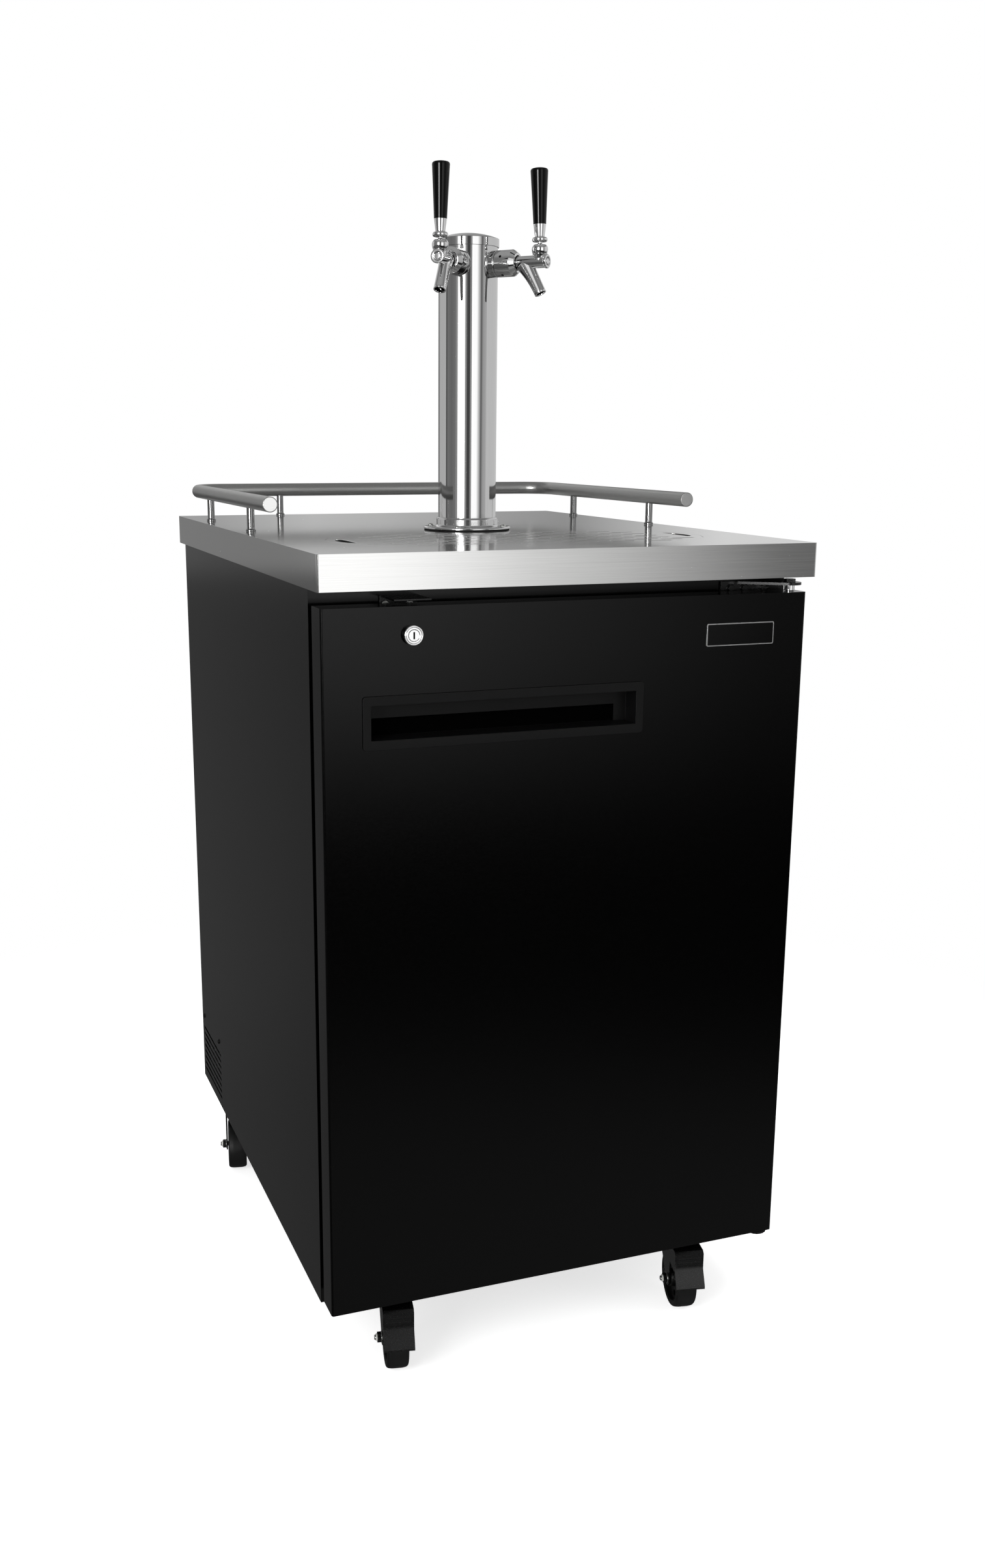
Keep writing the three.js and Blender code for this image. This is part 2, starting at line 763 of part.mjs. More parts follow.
// Worktop with the pocket of the drip tray and the line duct
function worktopPieces() {
  const board = extrudeUp(outline(roundedRectangle(
    -worktopWidth / 2, worktopWidth / 2, worktopFront, worktopBack, worktopCorner, 3)),
    worktopUnderside, worktopTop);
  const ledgeZ = worktopTop - gridThickness - trayWall - 2 * seatGap;
  const ledge = extrudeUp(
    outline(stadium(trayHalfLength, trayHalfWidth, trayY)), ledgeZ, worktopTop + overrun);
  const panHalfLength = trayHalfLength - trayLedge;
  const panHalfWidth = trayHalfWidth - trayLedge;
  const pocket = extrudeUp(
    outline(stadium(panHalfLength, panHalfWidth, trayY)),
    worktopTop - gridThickness - trayDepth - 2 * seatGap, worktopTop + overrun);
  const duct = rod(ductRadius, worktopUnderside - overrun, worktopTop + overrun, roundSides);
  duct.translate(0, towerY, 0);
  const worktop = cut(board, ledge, pocket, duct);

  const rimTop = worktopTop - gridThickness - seatGap;
  const rim = extrudeUp(
    outline(stadium(trayHalfLength - seatGap, trayHalfWidth - seatGap, trayY)),
    rimTop - trayWall, rimTop);
  const panBottom = worktopTop - gridThickness - trayDepth - seatGap;
  const pan = extrudeUp(
    outline(stadium(panHalfLength - seatGap, panHalfWidth - seatGap, trayY)), panBottom, rimTop);
  const wellLength = panHalfLength - seatGap - trayWall;
  const well = extrudeUp(
    outline(stadium(wellLength, panHalfWidth - seatGap - trayWall, trayY)),
    panBottom + trayWall, rimTop + overrun);
  const basin = cut(join(rim, pan), well);

  const gridPlate = extrudeUp(
    outline(stadium(trayHalfLength - seatGap, trayHalfWidth - seatGap, 0)), 0, gridThickness);
  const gridHole = (points) => extrudeUp(outline(points), -overrun, gridThickness + overrun);
  const straight = trayHalfLength - trayHalfWidth;
  const slots = [];
  for (let row = 0; row < gridRows; row += 1) {
    const y = (row - (gridRows - 1) / 2) * gridRowPitch;
    const round = trayHalfWidth - gridSlotMargin;
    const reachY = Math.abs(y) + gridSlotWidth / 2;
    const roundReach = straight + Math.sqrt(Math.max(0, round * round - reachY * reachY));
    const stepX = gridColumnPitch * 2;
    const shift = row % 2 ? gridColumnPitch : 0;
    const most = Math.ceil(trayHalfLength / stepX);
    for (let i = -most; i <= most; i += 1) {
      const x = i * stepX + shift;
      const reachX = Math.abs(x) + gridSlotLength / 2;
      const byFinger = reachX > fingerFlat - gridSlotMargin && reachY < fingerHalf * fingerClearShare;
      if (reachX > roundReach || byFinger) continue;
      slots.push(gridHole([
        [x - gridSlotLength / 2, y - gridSlotWidth / 2],
        [x + gridSlotLength / 2, y - gridSlotWidth / 2],
        [x + gridSlotLength / 2, y + gridSlotWidth / 2],
        [x - gridSlotLength / 2, y + gridSlotWidth / 2],
      ]));
    }
  }
  for (const side of [-1, 1]) {
    slots.push(gridHole(arcPoints(0, 0, 1, -90, 90, 10).map(([u, v]) =>
      [side * (fingerFlat + u * fingerBulge), v * fingerHalf])));
  }
  const gridMesh = piece("drip_grid", cut(gridPlate, join(...slots)), brushedSteel);
  gridMesh.position.set(0, trayY, worktopTop - gridThickness);
  return [
    piece("worktop", worktop, brushedSteel),
    piece("drip_basin", basin, brushedSteel),
    gridMesh,
  ];
}

// Guard rail and posts
function railPieces() {
  const x = worktopWidth / 2 - railSideInset;
  const y = worktopBack - railBackInset;
  const z = worktopTop + railHeight;
  const start = worktopFront + railFrontEnd;
  const stations = [];
  const put = (px, py, tx, ty) => stations.push({
    point: new THREE.Vector3(px, py, z),
    tangent: new THREE.Vector3(tx, ty, 0).normalize(),
  });
  put(-x, start, 0, 1);
  for (let i = 0; i <= railBendSteps; i += 1) {
    const turn = Math.PI - ((Math.PI / 2) * i) / railBendSteps;
    put(
      -x + railBend + railBend * Math.cos(turn), y - railBend + railBend * Math.sin(turn),
      Math.sin(turn), -Math.cos(turn));
  }
  for (let i = 0; i <= railBendSteps; i += 1) {
    const turn = Math.PI / 2 - ((Math.PI / 2) * i) / railBendSteps;
    put(
      x - railBend + railBend * Math.cos(turn), y - railBend + railBend * Math.sin(turn),
      Math.sin(turn), -Math.cos(turn));
  }
  put(x, start, 0, -1);
  const section = outline(arcPoints(0, 0, railDiameter / 2, 0, 360, railSides).slice(0, railSides));
  const rail = new THREE.ExtrudeGeometry(section, {
    steps: stations.length - 1, bevelEnabled: false, extrudePath: new StationPath(stations),
  });

  const bed = railDiameter / 2 + seatGap;
  const foot = worktopTop + seatGap;
  const post = (name, px, py, across) => {
    const stem = join(
      rod(postDiameter / 2, foot, z, smallSides),
      rod(postRingDiameter / 2, foot, foot + postRingHeight, smallSides));
    const along = rod(bed, -railDiameter, railDiameter, roundSides);
    const saddle = (across ? pointAcross(along) : pointBack(along)).translate(0, 0, z);
    const mesh = piece(name, cut(stem, saddle), polishedSteel);
    mesh.position.set(px, py, 0);
    return mesh;
  };
  const frontY = worktopFront + postFrontFromFront;
  const middleY = worktopFront + postMiddleFromFront;
  return [
    piece("guard_rail", rail, brushedSteel),
    post("post_front_left", -x, frontY, false),
    post("post_middle_left", -x, middleY, false),
    post("post_back_left", -postBackSpread, y, true),
    post("post_back_right", postBackSpread, y, true),
    post("post_middle_right", x, middleY, false),
    post("post_front_right", x, frontY, false),
  ];
}

// Tower: gasket, flange with collar, column and cap
const towerGasketBottom = worktopTop + seatGap;
const flangeBottom = towerGasketBottom + towerGasketThickness + seatGap;
const collarBottom = flangeBottom + flangeThickness;
const columnTop = flangeBottom + columnHeight;
const shankZ = columnTop - shankBelowTop;
function towerPieces() {
  const gasket = tube(ductRadius, towerGasketRadius, 0, towerGasketThickness, fineSides);
  const bore = columnRadius + seatGap;
  const collarTop = flangeThickness + collarHeight;
  const flange = turned(ringProfile([
    [bore, 0],
    [flangeRadius, 0],
    [flangeRadius, flangeThickness * flangeEdgeShare],
    [flangeRadius - flangeThickness * (1 - flangeEdgeShare), flangeThickness],
    [collarRadius + collarFillet, flangeThickness],
    [collarRadius, flangeThickness + collarFillet],
    [collarRadius, collarTop - collarFillet],
    [(bore + collarRadius) / 2, collarTop],
    [bore, collarTop],
  ]), fineSides);
  const shell = tube(columnRadius - columnWall, columnRadius, 0, columnHeight, fineSides);
  const holes = [-1, 1].map((side) => {
    const hole = pointForward(
      rod(shankRadius + slideGap, columnRadius / 2, columnRadius + overrun, roundSides));
    hole.rotateZ(side * THREE.MathUtils.degToRad(tapAngle));
    return hole.translate(0, 0, columnHeight - shankBelowTop);
  });
  const spigot = columnRadius - columnWall - seatGap;
  const cap = turned([
    ...capDomeShares.map(([across, up]) => [capRadius * across, capSkirt + capCrown * up]),
    [capRadius, capSkirt - capTop],
    [capRadius, -capOverlap],
    [bore, -capOverlap],
    [bore, 0],
    [spigot, 0],
    [spigot, -capSpigotDepth],
    [spigot - columnWall, -capSpigotDepth],
    [spigot - columnWall, capSkirt - capTop],
    [0, capSkirt - capTop],
  ], fineSides);
  const at = (mesh, z) => {
    mesh.position.set(0, towerY, z);
    return mesh;
  };
  return [
    at(piece("tower_gasket", gasket, darkRubber), towerGasketBottom),
    at(piece("tower_flange", flange, polishedSteel), flangeBottom),
    at(piece("tower_column", cut(shell, ...holes), polishedSteel), flangeBottom),
    at(piece("tower_cap", cap, polishedSteel), columnTop + seatGap),
  ];
}

// One tap: shank, coupling nut, body, bonnet, lever, handle and shaft
function tap(side, name) {
  const group = new THREE.Group();
  group.position.set(0, towerY, 0);
  group.rotation.z = side * THREE.MathUtils.degToRad(tapAngle);
  const forward = (profile, sides) => pointForward(turned(profile, sides));
  const axleZ = shankZ;

  const nutFront = columnRadius - columnWall - shankNutBack;
  const stem = forward(ringProfile([
    [shankBore, shankInnerEnd],
    [shankRadius, shankInnerEnd],
    [shankRadius, shankOuterEnd],
    [shankBore, shankOuterEnd],
  ]), roundSides);
  const nut = forward(ringProfile([
    [shankRadius - overrun, nutFront - shankNutLength],
    [shankNutRadius, nutFront - shankNutLength],
    [shankNutRadius, nutFront],
    [shankRadius - overrun, nutFront],
  ]), 6);
  const collar = forward(ringProfile([
    [shankRadius - overrun, columnRadius * shankCollarRootShare],
    [shankCollarRadius, columnRadius * shankCollarRootShare],
    [shankCollarRadius, shankCollarEnd],
    [shankRadius - overrun, shankCollarEnd],
  ]), roundSides);
  const columnSpace = rod(
    columnRadius + seatGap, -shankCollarRadius - overrun, shankCollarRadius + overrun, fineSides);
  columnSpace.rotateZ(-side * THREE.MathUtils.degToRad(tapAngle));
  const shank = piece(`${name}_shank`, join(stem, nut, cut(collar, columnSpace)), polishedSteel);
  shank.position.z = axleZ;

  const nutStart = shankCollarEnd + seatGap;
  const flangeStart = shankOuterEnd + seatGap;
  const flangeEnd = flangeStart + tailFlangeThickness;
  const nutBody = forward(ringProfile([
    [shankRadius + slideGap, nutStart],
    [shankCollarRadius, nutStart],
    [shankCollarRadius, couplingEnd - couplingChamfer],
    [couplingFrontRadius, couplingEnd],
    [couplingLip, couplingEnd],
    [couplingLip, flangeEnd + seatGap],
    [tailFlangeRadius + seatGap, flangeEnd + seatGap],
    [tailFlangeRadius + seatGap, shankOuterEnd],
    [shankRadius + slideGap, shankOuterEnd - seatGap],
  ]), roundSides);
  const notchAt = (nutStart + couplingEnd - couplingChamfer) / 2;
  const notches = [0, 1, 2, 3].map((i) => {
    const notch = rod(
      couplingNotchRadius, shankCollarRadius - couplingNotchDepth, shankCollarRadius + overrun, 8);
    return notch.rotateY((Math.PI * i) / 2 + Math.PI / 4).translate(0, -notchAt, 0);
  });
  const coupling = piece(`${name}_coupling_nut`, cut(nutBody, ...notches), chromePlate);
  coupling.position.z = axleZ;

  const barrel = forward([
    [0, flangeStart],
    [tailFlangeRadius, flangeStart],
    [tailFlangeRadius, flangeEnd],
    [barrelRadius, flangeEnd],
    [barrelRadius, barrelEnd - barrelCapLength],
    [barrelCapRadius, barrelEnd - barrelCapLength],
    [barrelCapRadius, barrelEnd],
    [0, barrelEnd],
  ], roundSides);
  const bonnetY = -(barrelEnd - bonnetFromFront);
  const neck = rod(neckRadius, 0, neckHeight, roundSides).translate(0, bonnetY, 0);
  const spoutRings = (wall, from, past) => {
    const rings = [];
    for (let i = 0; i <= spoutSteps; i += 1) {
      const u = from + ((1 - from) * i) / spoutSteps;
      const bendX = spoutReach * spoutBendShares[0];
      const bendZ = -spoutDrop * spoutBendShares[1];
      const reach = 2 * u * (1 - u) * bendX + u * u * spoutReach;
      const drop = 2 * u * (1 - u) * bendZ - u * u * spoutDrop;
      const slope = new THREE.Vector2(
        2 * (1 - u) * bendX + 2 * u * (spoutReach - bendX),
        2 * (1 - u) * bendZ + 2 * u * (-spoutDrop - bendZ));
      slope.normalize();
      const extra = i === spoutSteps ? past : 0;
      const half = spoutTipHalf + (spoutRootHalf - spoutTipHalf) * (1 - u) ** 2 - wall;
      const sideHalf = spoutRootSide + (spoutTipSide - spoutRootSide) * u - wall;
      const ring = [];
      for (let k = 0; k < roundSides; k += 1) {
        const turn = (2 * Math.PI * k) / roundSides;
        const across = Math.cos(turn) * sideHalf;
        const lift = Math.sin(turn) * half;
        const out = reach + slope.x * extra - slope.y * lift;
        const down = drop + slope.y * extra + slope.x * lift;
        ring.push(new THREE.Vector3(across, -(spoutRoot + out), down));
      }
      rings.push(ring);
    }
    return rings;
  };
  const spout = loft(spoutRings(0, 0, 0));
  const spoutBore = loft(spoutRings(spoutWall, spoutBoreStartShare, overrun));
  const bodyBore = forward([
    [0, flangeStart - overrun],
    [barrelBore, flangeStart - overrun],
    [barrelBore, barrelEnd + overrun],
    [0, barrelEnd + overrun],
  ], roundSides);
  const sweep = Math.tan(THREE.MathUtils.degToRad(leverPull));
  const tipSlot = box(
    -leverTipRadius - slideGap, leverTipRadius + slideGap,
    bonnetY - leverTipRadius - slideGap * 2,
    bonnetY + (leverArm - barrelBore) * sweep + leverTipRadius + slideGap / 2,
    0, neckHeight + overrun);
  const body = piece(
    `${name}_body`, cut(join(barrel, neck, spout), spoutBore, bodyBore, tipSlot), chromePlate);
  body.position.z = axleZ;

  const bonnetFoot = neckHeight + seatGap;
  const cup = leverBallRadius + slideGap;
  const bonnet = piece(`${name}_bonnet`, turned(ringProfile([
    [cup, bonnetFoot],
    [bonnetRadius, bonnetFoot],
    [bonnetRadius, bonnetFoot + bonnetHeight - bonnetChamfer],
    [bonnetTopRadius, bonnetFoot + bonnetHeight],
    [bonnetMouthRadius, bonnetFoot + bonnetHeight],
    [cup, bonnetFoot + bonnetHeight - bonnetChamfer],
  ]), roundSides), chromePlate);
  bonnet.position.set(0, bonnetY, axleZ);

  const levered = new THREE.Group();
  levered.position.set(0, bonnetY, axleZ + leverArm);
  levered.rotation.x = -THREE.MathUtils.degToRad(leverLean);
  const ball = [];
  const low = Math.acos(leverTipRadius / leverBallRadius);
  const high = Math.acos(leverStemRadius / leverBallRadius);
  for (let i = 0; i <= leverBallSteps; i += 1) {
    const turn = -low + ((low + high) * i) / leverBallSteps;
    ball.push([leverBallRadius * Math.cos(turn), leverBallRadius * Math.sin(turn)]);
  }
  const lever = piece(`${name}_lever`, turned([
    [0, -leverArm - leverTipPast],
    [leverTipRadius, -leverArm - leverTipPast],
    ...ball,
    [leverStemRadius, leverCollarBottom],
    [leverCollarFootRadius, leverCollarBottom],
    [leverCollarRadius, leverCollarEdge],
    [leverCollarRadius, leverCollarTop],
    [leverStudRadius, leverCollarTop],
    [leverStudRadius, leverStudTop],
    [0, leverStudTop],
  ], roundSides), chromePlate);
  const gripFoot = leverCollarTop + seatGap + ferruleHeight;
  const gripTop = gripFoot + gripHeight;
  const socket = leverStudRadius + seatGap;
  const handle = piece(`${name}_handle`, turned([
    ...gripDomeShares.map(([across, up]) => [gripTopRadius * across, gripTop + gripDome * up]),
    [gripFootRadius, gripFoot],
    [ferruleTopRadius, gripFoot],
    [ferruleFootRadius, leverCollarTop + seatGap],
    [socket, leverCollarTop + seatGap],
    [socket, leverStudTop + seatGap],
    [0, leverStudTop + seatGap],
  ], roundSides), glossBlack);
  levered.add(lever, handle);

  const shaftRod = pointForward(rod(barrelBore - seatGap, shaftFrom, barrelEnd, roundSides));
  const notchBox = box(
    -barrelBore, barrelBore, bonnetY - notchHalf, bonnetY + notchHalf,
    -notchBelowAxis, barrelBore + overrun);
  const shaft = piece(`${name}_shaft`, cut(shaftRod, notchBox), polishedSteel);
  shaft.position.z = axleZ;
  group.add(shank, coupling, body, bonnet, levered, shaft);
  return group;
}

// Door with its pull pocket, gasket and lock
function doorPieces() {
  const pullLeft = -sideFace + pullFromLeft;
  const pullRight = pullLeft + pullWidth;
  const pullTop = doorTop - pullFromTop;
  const pullBottom = pullTop - pullHeight;
  const cup = [pullLeft + pullFrameSide, pullRight - pullFrameSide, pullBottom + pullFrameBand,
    pullTop - pullFrameBand];
  const plan = outline([
    ...arcPoints(sideFace - doorEdgeRadius, doorFront + doorEdgeRadius, doorEdgeRadius, -90, 0, 4),
    [sideFace, doorBack],
    [-sideFace, doorBack],
    ...arcPoints(-sideFace + doorEdgeRadius, doorFront + doorEdgeRadius, doorEdgeRadius, 180, 270, 4),
  ]);
  const slab = extrudeUp(plan, doorBottom, doorTop);
  const pullSpace = box(
    cup[0] - pullWall - seatGap, cup[1] + pullWall + seatGap, doorFront - overrun,
    doorFront + pullDepth + pullWall + seatGap, cup[2] - pullWall - seatGap, cup[3] + pullWall + seatGap);
  const at = (geometry, x, y, z) => geometry.translate(x, y, z);
  const lockBore = at(
    pointBack(rod(lockBodyRadius + seatGap, -overrun, lockCavityFromFront + overrun, roundSides)),
    lockX, doorFront, lockZ);
  const lockCavity = at(
    pointBack(rod(lockCavityRadius, 0, lockCavityDepth, roundSides)), lockX, cavityLockFront, lockZ);
  const boltWay = at(
    rod(boltRadius + slideGap + seatGap, 0, lockFromTop + overrun, smallSides), lockX, boltY, lockZ);
  const pinSpace = turningBore(hingePinRadius);
  const upperPin = at(rod(pinSpace, -hingePinLength, overrun, smallSides), hingeX, hingeY, doorTop);
  const lowerPin = at(rod(pinSpace, -overrun, hingePinLength, smallSides), hingeX, hingeY, doorBottom);
  const panel = cut(slab, pullSpace, lockBore, lockCavity, boltWay, upperPin, lowerPin);

  const linerBack = doorBack + seatGap + doorLinerThickness;
  const doorLiner = extrudeBack(outline(roundedRectangle(
    doorLinerInset - sideFace, sideFace - doorLinerInset,
    doorBottom + doorLinerInset, doorTop - doorLinerInset, doorLinerRadius)), doorBack + seatGap, linerBack);

  const g0 = gasketInset;
  const g1 = gasketInset + gasketWidth;
  const ring = outline(roundedRectangle(
    g0 - sideFace, sideFace - g0, doorBottom + g0, doorTop - g0, gasketRadius, 4));
  ring.holes.push(new THREE.Path(outline(roundedRectangle(
    g1 - sideFace, sideFace - g1, doorBottom + g1, doorTop - g1, doorLinerRadius, 5)).getPoints()));
  const gasket = extrudeBack(ring, doorBack + seatGap, cabinetFront - seatGap);

  const frame = extrudeBack(
    outline(roundedRectangle(pullLeft, pullRight, pullBottom, pullTop, pullRadius, 4)),
    doorFront - seatGap - pullProud, doorFront - seatGap);
  const tub = box(
    cup[0] - pullWall, cup[1] + pullWall, doorFront - seatGap - pullProud / 2,
    doorFront + pullDepth + pullWall, cup[2] - pullWall, cup[3] + pullWall);
  const mouth = box(
    cup[0], cup[1], doorFront - pullProud - overrun, doorFront + pullDepth - pullLipDepth, cup[2], cup[3]);
  const deep = box(
    cup[0], cup[1] - pullEndLip, doorFront, doorFront + pullDepth, cup[2], cup[3] - pullLipDrop);
  const pull = cut(join(frame, tub), mouth, deep);

  const headFront = doorFront - lockHeadProud;
  const total = lockHeadProud + lockCavityFromFront;
  const bore = lockPlugRadius + seatGap;
  const grooveR = lockHeadRadius * lockGrooveShare;
  const barrel = at(pointBack(turned(ringProfile([
    [bore, 0],
    [grooveR - lockGrooveDepth / 2, 0],
    [grooveR, lockGrooveDepth],
    [grooveR + lockGrooveDepth / 2, 0],
    [lockHeadRadius - lockGrooveDepth, 0],
    [lockHeadRadius, lockGrooveDepth],
    [lockHeadRadius, lockHeadProud - seatGap],
    [lockBodyRadius, lockHeadProud - seatGap],
    [lockBodyRadius, total - seatGap],
    [bore, total - seatGap],
  ]), roundSides)), lockX, headFront, lockZ);
  const camFront = cavityLockFront + seatGap * 2;
  const plugRod = at(
    pointBack(rod(lockPlugRadius, 0, total - seatGap, roundSides)), lockX, headFront, lockZ);
  const hub = at(
    pointBack(rod(camHubRadius, 0, camFront + camThickness - headFront - total + overrun, smallSides)),
    lockX, headFront + total - overrun, lockZ);
  const camShape = outline([
    ...arcPoints(camArm, 0, camTipRadius, -90, 90, 8),
    ...arcPoints(0, 0, camTipRadius, 90, 270, 4),
  ]);
  const cam = extrudeBack(camShape, camFront, camFront + camThickness);
  cam.translate(lockX, 0, lockZ);
  const keySlot = box(
    lockX - keySlotHalf, lockX + keySlotHalf, headFront - overrun, headFront + keySlotDepth,
    lockZ - keySlotReach, lockZ + keySlotReach);
  const plug = cut(join(plugRod, hub, cam), keySlot);
  const boltTop = lockFromTop - seatGap;
  const bolt = at(turned([
    [0, boltFoot],
    [boltRadius - boltChamfer, boltFoot],
    [boltRadius, boltFoot + boltChamfer],
    [boltRadius, boltTop - boltChamfer],
    [boltRadius - boltChamfer, boltTop],
    [0, boltTop],
  ], smallSides), lockX, boltY, lockZ);

  return [
    piece("door_panel", panel, blackPaint),
    piece("door_liner", doorLiner, linerWhite),
    piece("door_gasket", gasket, darkRubber),
    piece("pull_pocket", pull, blackPlastic),
    piece("lock_barrel", barrel, chromePlate),
    piece("lock_plug", plug, chromePlate),
    piece("lock_bolt", bolt, polishedSteel),
  ];
}

// Door hinges and the strike, on the cabinet front
function hingePieces() {
  const plateBack = cabinetFront - seatGap;
  const plateFront = plateBack - hingePlateThickness;
  const right = sideFace - hingePlateFromRight;
  const left = right - hingePlateWidth;
  const eye = arcPoints(hingeX, hingeY, hingeEyeRadius, -150, 0, 8);
  const arm = outline([
    [left, plateBack],
    [left + hingePlateWidth / 4, plateFront - hingeEyeReach],
    ...eye,
    [hingeX + hingeEyeRadius, hingeY + hingeEyeRadius],
    [right, plateBack],
  ]);
  const pinAt = (geometry) => geometry.translate(hingeX, hingeY, 0);

  const armTop = worktopUnderside - hingeTopGap;
  const armBottom = armTop - hingeArmThickness;
  const upperPlate = box(left, right, plateFront, plateBack, armTop - hingePlateHeight, armTop);
  const upperArm = extrudeUp(arm, armBottom, armTop);
  const upperPin = pinAt(rod(hingePinRadius, doorTop - hingePinLength + overrun, armTop, smallSides));
  const upperBushing = pinAt(rod(hingeBushingRadius, doorTop + seatGap, armTop, smallSides));
  const nut = pinAt(rod(hingeNutRadius, armBottom, armTop + hingeNutHeight, 6));
  const upper = join(upperPlate, upperArm, upperPin, upperBushing, nut);

  const lowBottom = cabinetBottom + lowerPlateGap;
  const lowPlate = box(left, right, plateFront, plateBack, lowBottom, lowBottom + lowerPlateHeight);
  const lowArmBottom = cabinetBottom + lowerArmRise;
  const lowArm = extrudeUp(arm, lowArmBottom, lowArmBottom + hingeArmThickness);
  const lowPin = pinAt(rod(hingePinRadius, lowArmBottom, doorBottom + hingePinLength - overrun, smallSides));
  const lowBushing = pinAt(rod(hingeBushingRadius, lowArmBottom, doorBottom - seatGap, smallSides));
  const lower = join(lowPlate, lowArm, lowPin, lowBushing);

  const strikeBottom = doorTop - strikeDropBelowTop;
  const strikePlate = box(
    lockX - strikeWidth / 2, lockX + strikeWidth / 2, plateFront, plateBack,
    strikeBottom, strikeBottom + strikeHeight);
  const tongueTop = strikeBottom + strikeHeight;
  const tongueMiddle = lockX + tongueShift / 2;
  const tongue = box(
    tongueMiddle - tongueWidth / 2, tongueMiddle + tongueWidth / 2,
    plateBack - tongueLength - strikeThickness, plateBack, tongueTop - tongueThickness, tongueTop);
  const boltHole = rod(
    boltRadius + slideGap + seatGap, tongueTop - tongueThickness - overrun, tongueTop + overrun, smallSides);
  boltHole.translate(lockX, boltY, 0);
  return [
    piece("top_hinge", upper, bracketBlack),
    piece("bottom_hinge", lower, bracketBlack),
    piece("lock_strike", cut(join(strikePlate, tongue), boltHole), galvanised),
  ];
}

// Casters: plate, fork with axle, wheel and, in front, a brake pedal
function caster(name, x, y, longAcross, withPedal) {
  const plateTop = casterHeight - seatGap;
  const plateBottom = plateTop - casterPlateThickness;
  const halfX = (longAcross ? casterPlateLong : casterPlateShort) / 2;
  const halfY = (longAcross ? casterPlateShort : casterPlateLong) / 2;
  const plateShape = outline(roundedRectangle(-halfX, halfX, -halfY, halfY, wheelTyreEdge, 1));
  const raceBottom = plateBottom - raceHeight;
  const crownTop = raceBottom - seatGap;
  const crownBottom = crownTop - forkCrownThickness;
  const race = turned([
    [0, raceBottom],
    [raceRadius * raceFootShare, raceBottom],
    [raceRadius, raceBottom + raceHeight / 2],
    [raceRadius, plateBottom + casterPlateThickness / 2],
    [0, plateBottom + casterPlateThickness / 2],
  ], roundSides);
  const headTop = crownBottom - seatGap;
  const kingpin = turned([
    [0, headTop - kingpinHeadHeight],
    [kingpinHeadRadius, headTop - kingpinHeadHeight],
    [kingpinHeadRadius, headTop],
    [kingpinRadius, headTop],
    [kingpinRadius, raceBottom + raceHeight / 2],
    [0, raceBottom + raceHeight / 2],
  ], smallSides);
  const plate = piece(
    `${name}_caster_plate`, join(extrudeUp(plateShape, plateBottom, plateTop), race, kingpin), casterBlack);
  plate.position.set(x, y, 0);

  const turning = new THREE.Group();
  turning.position.set(x, y, 0);
  turning.rotation.z = -THREE.MathUtils.degToRad(casterTurn);

  const legInner = wheelWidth / 2 + forkSideGap;
  const legOuter = legInner + forkLegThickness;
  const axleZ = wheelRadius;
  const legShape = outline([
    [forkTail, crownTop],
    [forkTail, crownTop - forkCrownThickness * 2],
    ...arcPoints(-casterTrail, axleZ, forkBossRadius, 30, -210, 6),
    [-forkNose, crownTop - forkNoseDepth],
    [-forkNose, crownTop],
  ]);
  const legs = [extrudeAcross(legShape, legInner, legOuter), extrudeAcross(legShape, -legOuter, -legInner)];
  const crown = rod(forkCrownRadius, crownBottom, crownTop, roundSides);
  const bridge = box(-legOuter, legOuter, -forkNose, forkTail, crownBottom, crownTop);
  const crownHole = rod(turningBore(kingpinRadius), crownBottom - overrun, crownTop + overrun, smallSides);
  const axle = pointAcross(
    rod(axleRadius, -legOuter - axleNutLength, legOuter + axleHeadLength, smallSides));
  const nut = pointAcross(rod(axleNutRadius, -legOuter - axleNutLength * axleNutShare, -legOuter, 6));
  const head = pointAcross(rod(axleNutRadius, legOuter, legOuter + axleHeadLength, 6));
  for (const part of [axle, nut, head]) part.translate(0, -casterTrail, axleZ);
  const forkParts = [...legs, bridge, axle, nut, head];
  const cheekInner = legOuter + seatGap;
  const cheekOuter = cheekInner + pedalSheet;
  if (withPedal) {
    const pin = pointAcross(rod(pedalPinRadius, -cheekOuter, cheekOuter, smallSides));
    forkParts.push(pin.translate(0, -pedalPivotY, pedalPivotZ));
  }
  const fork = piece(`${name}_fork`, cut(join(crown, ...forkParts), crownHole), casterBlack);

  const half = wheelWidth / 2;
  const wheelShape = turned(ringProfile([
    [wheelBore, -half],
    [wheelHubRadius, -half],
    [wheelHubRadius, -wheelWebHalf],
    [wheelRimRadius, -wheelWebHalf],
    [wheelRimRadius + wheelTyreEdge, -half],
    [wheelRadius, -half + wheelTyreEdge],
    [wheelRadius, half - wheelTyreEdge],
    [wheelRimRadius + wheelTyreEdge, half],
    [wheelRimRadius, wheelWebHalf],
    [wheelHubRadius, wheelWebHalf],
    [wheelHubRadius, half],
    [wheelBore, half],
  ]), wheelSides);
  const webMiddle = (wheelHubRadius + wheelRimRadius) / 2;
  const holes = [];
  for (let i = 0; i < wheelHoles; i += 1) {
    const hole = rod(wheelHoleRadius, -half, half, 6).translate(webMiddle, 0, 0);
    holes.push(hole.rotateZ((2 * Math.PI * i) / wheelHoles));
  }
  const wheelSolid = cut(wheelShape, ...holes);
  const wheel = piece(`${name}_wheel`, pointAcross(asGeometry(wheelSolid)), tyreBlack);
  wheel.position.set(0, -casterTrail, axleZ);
  turning.add(fork, wheel);

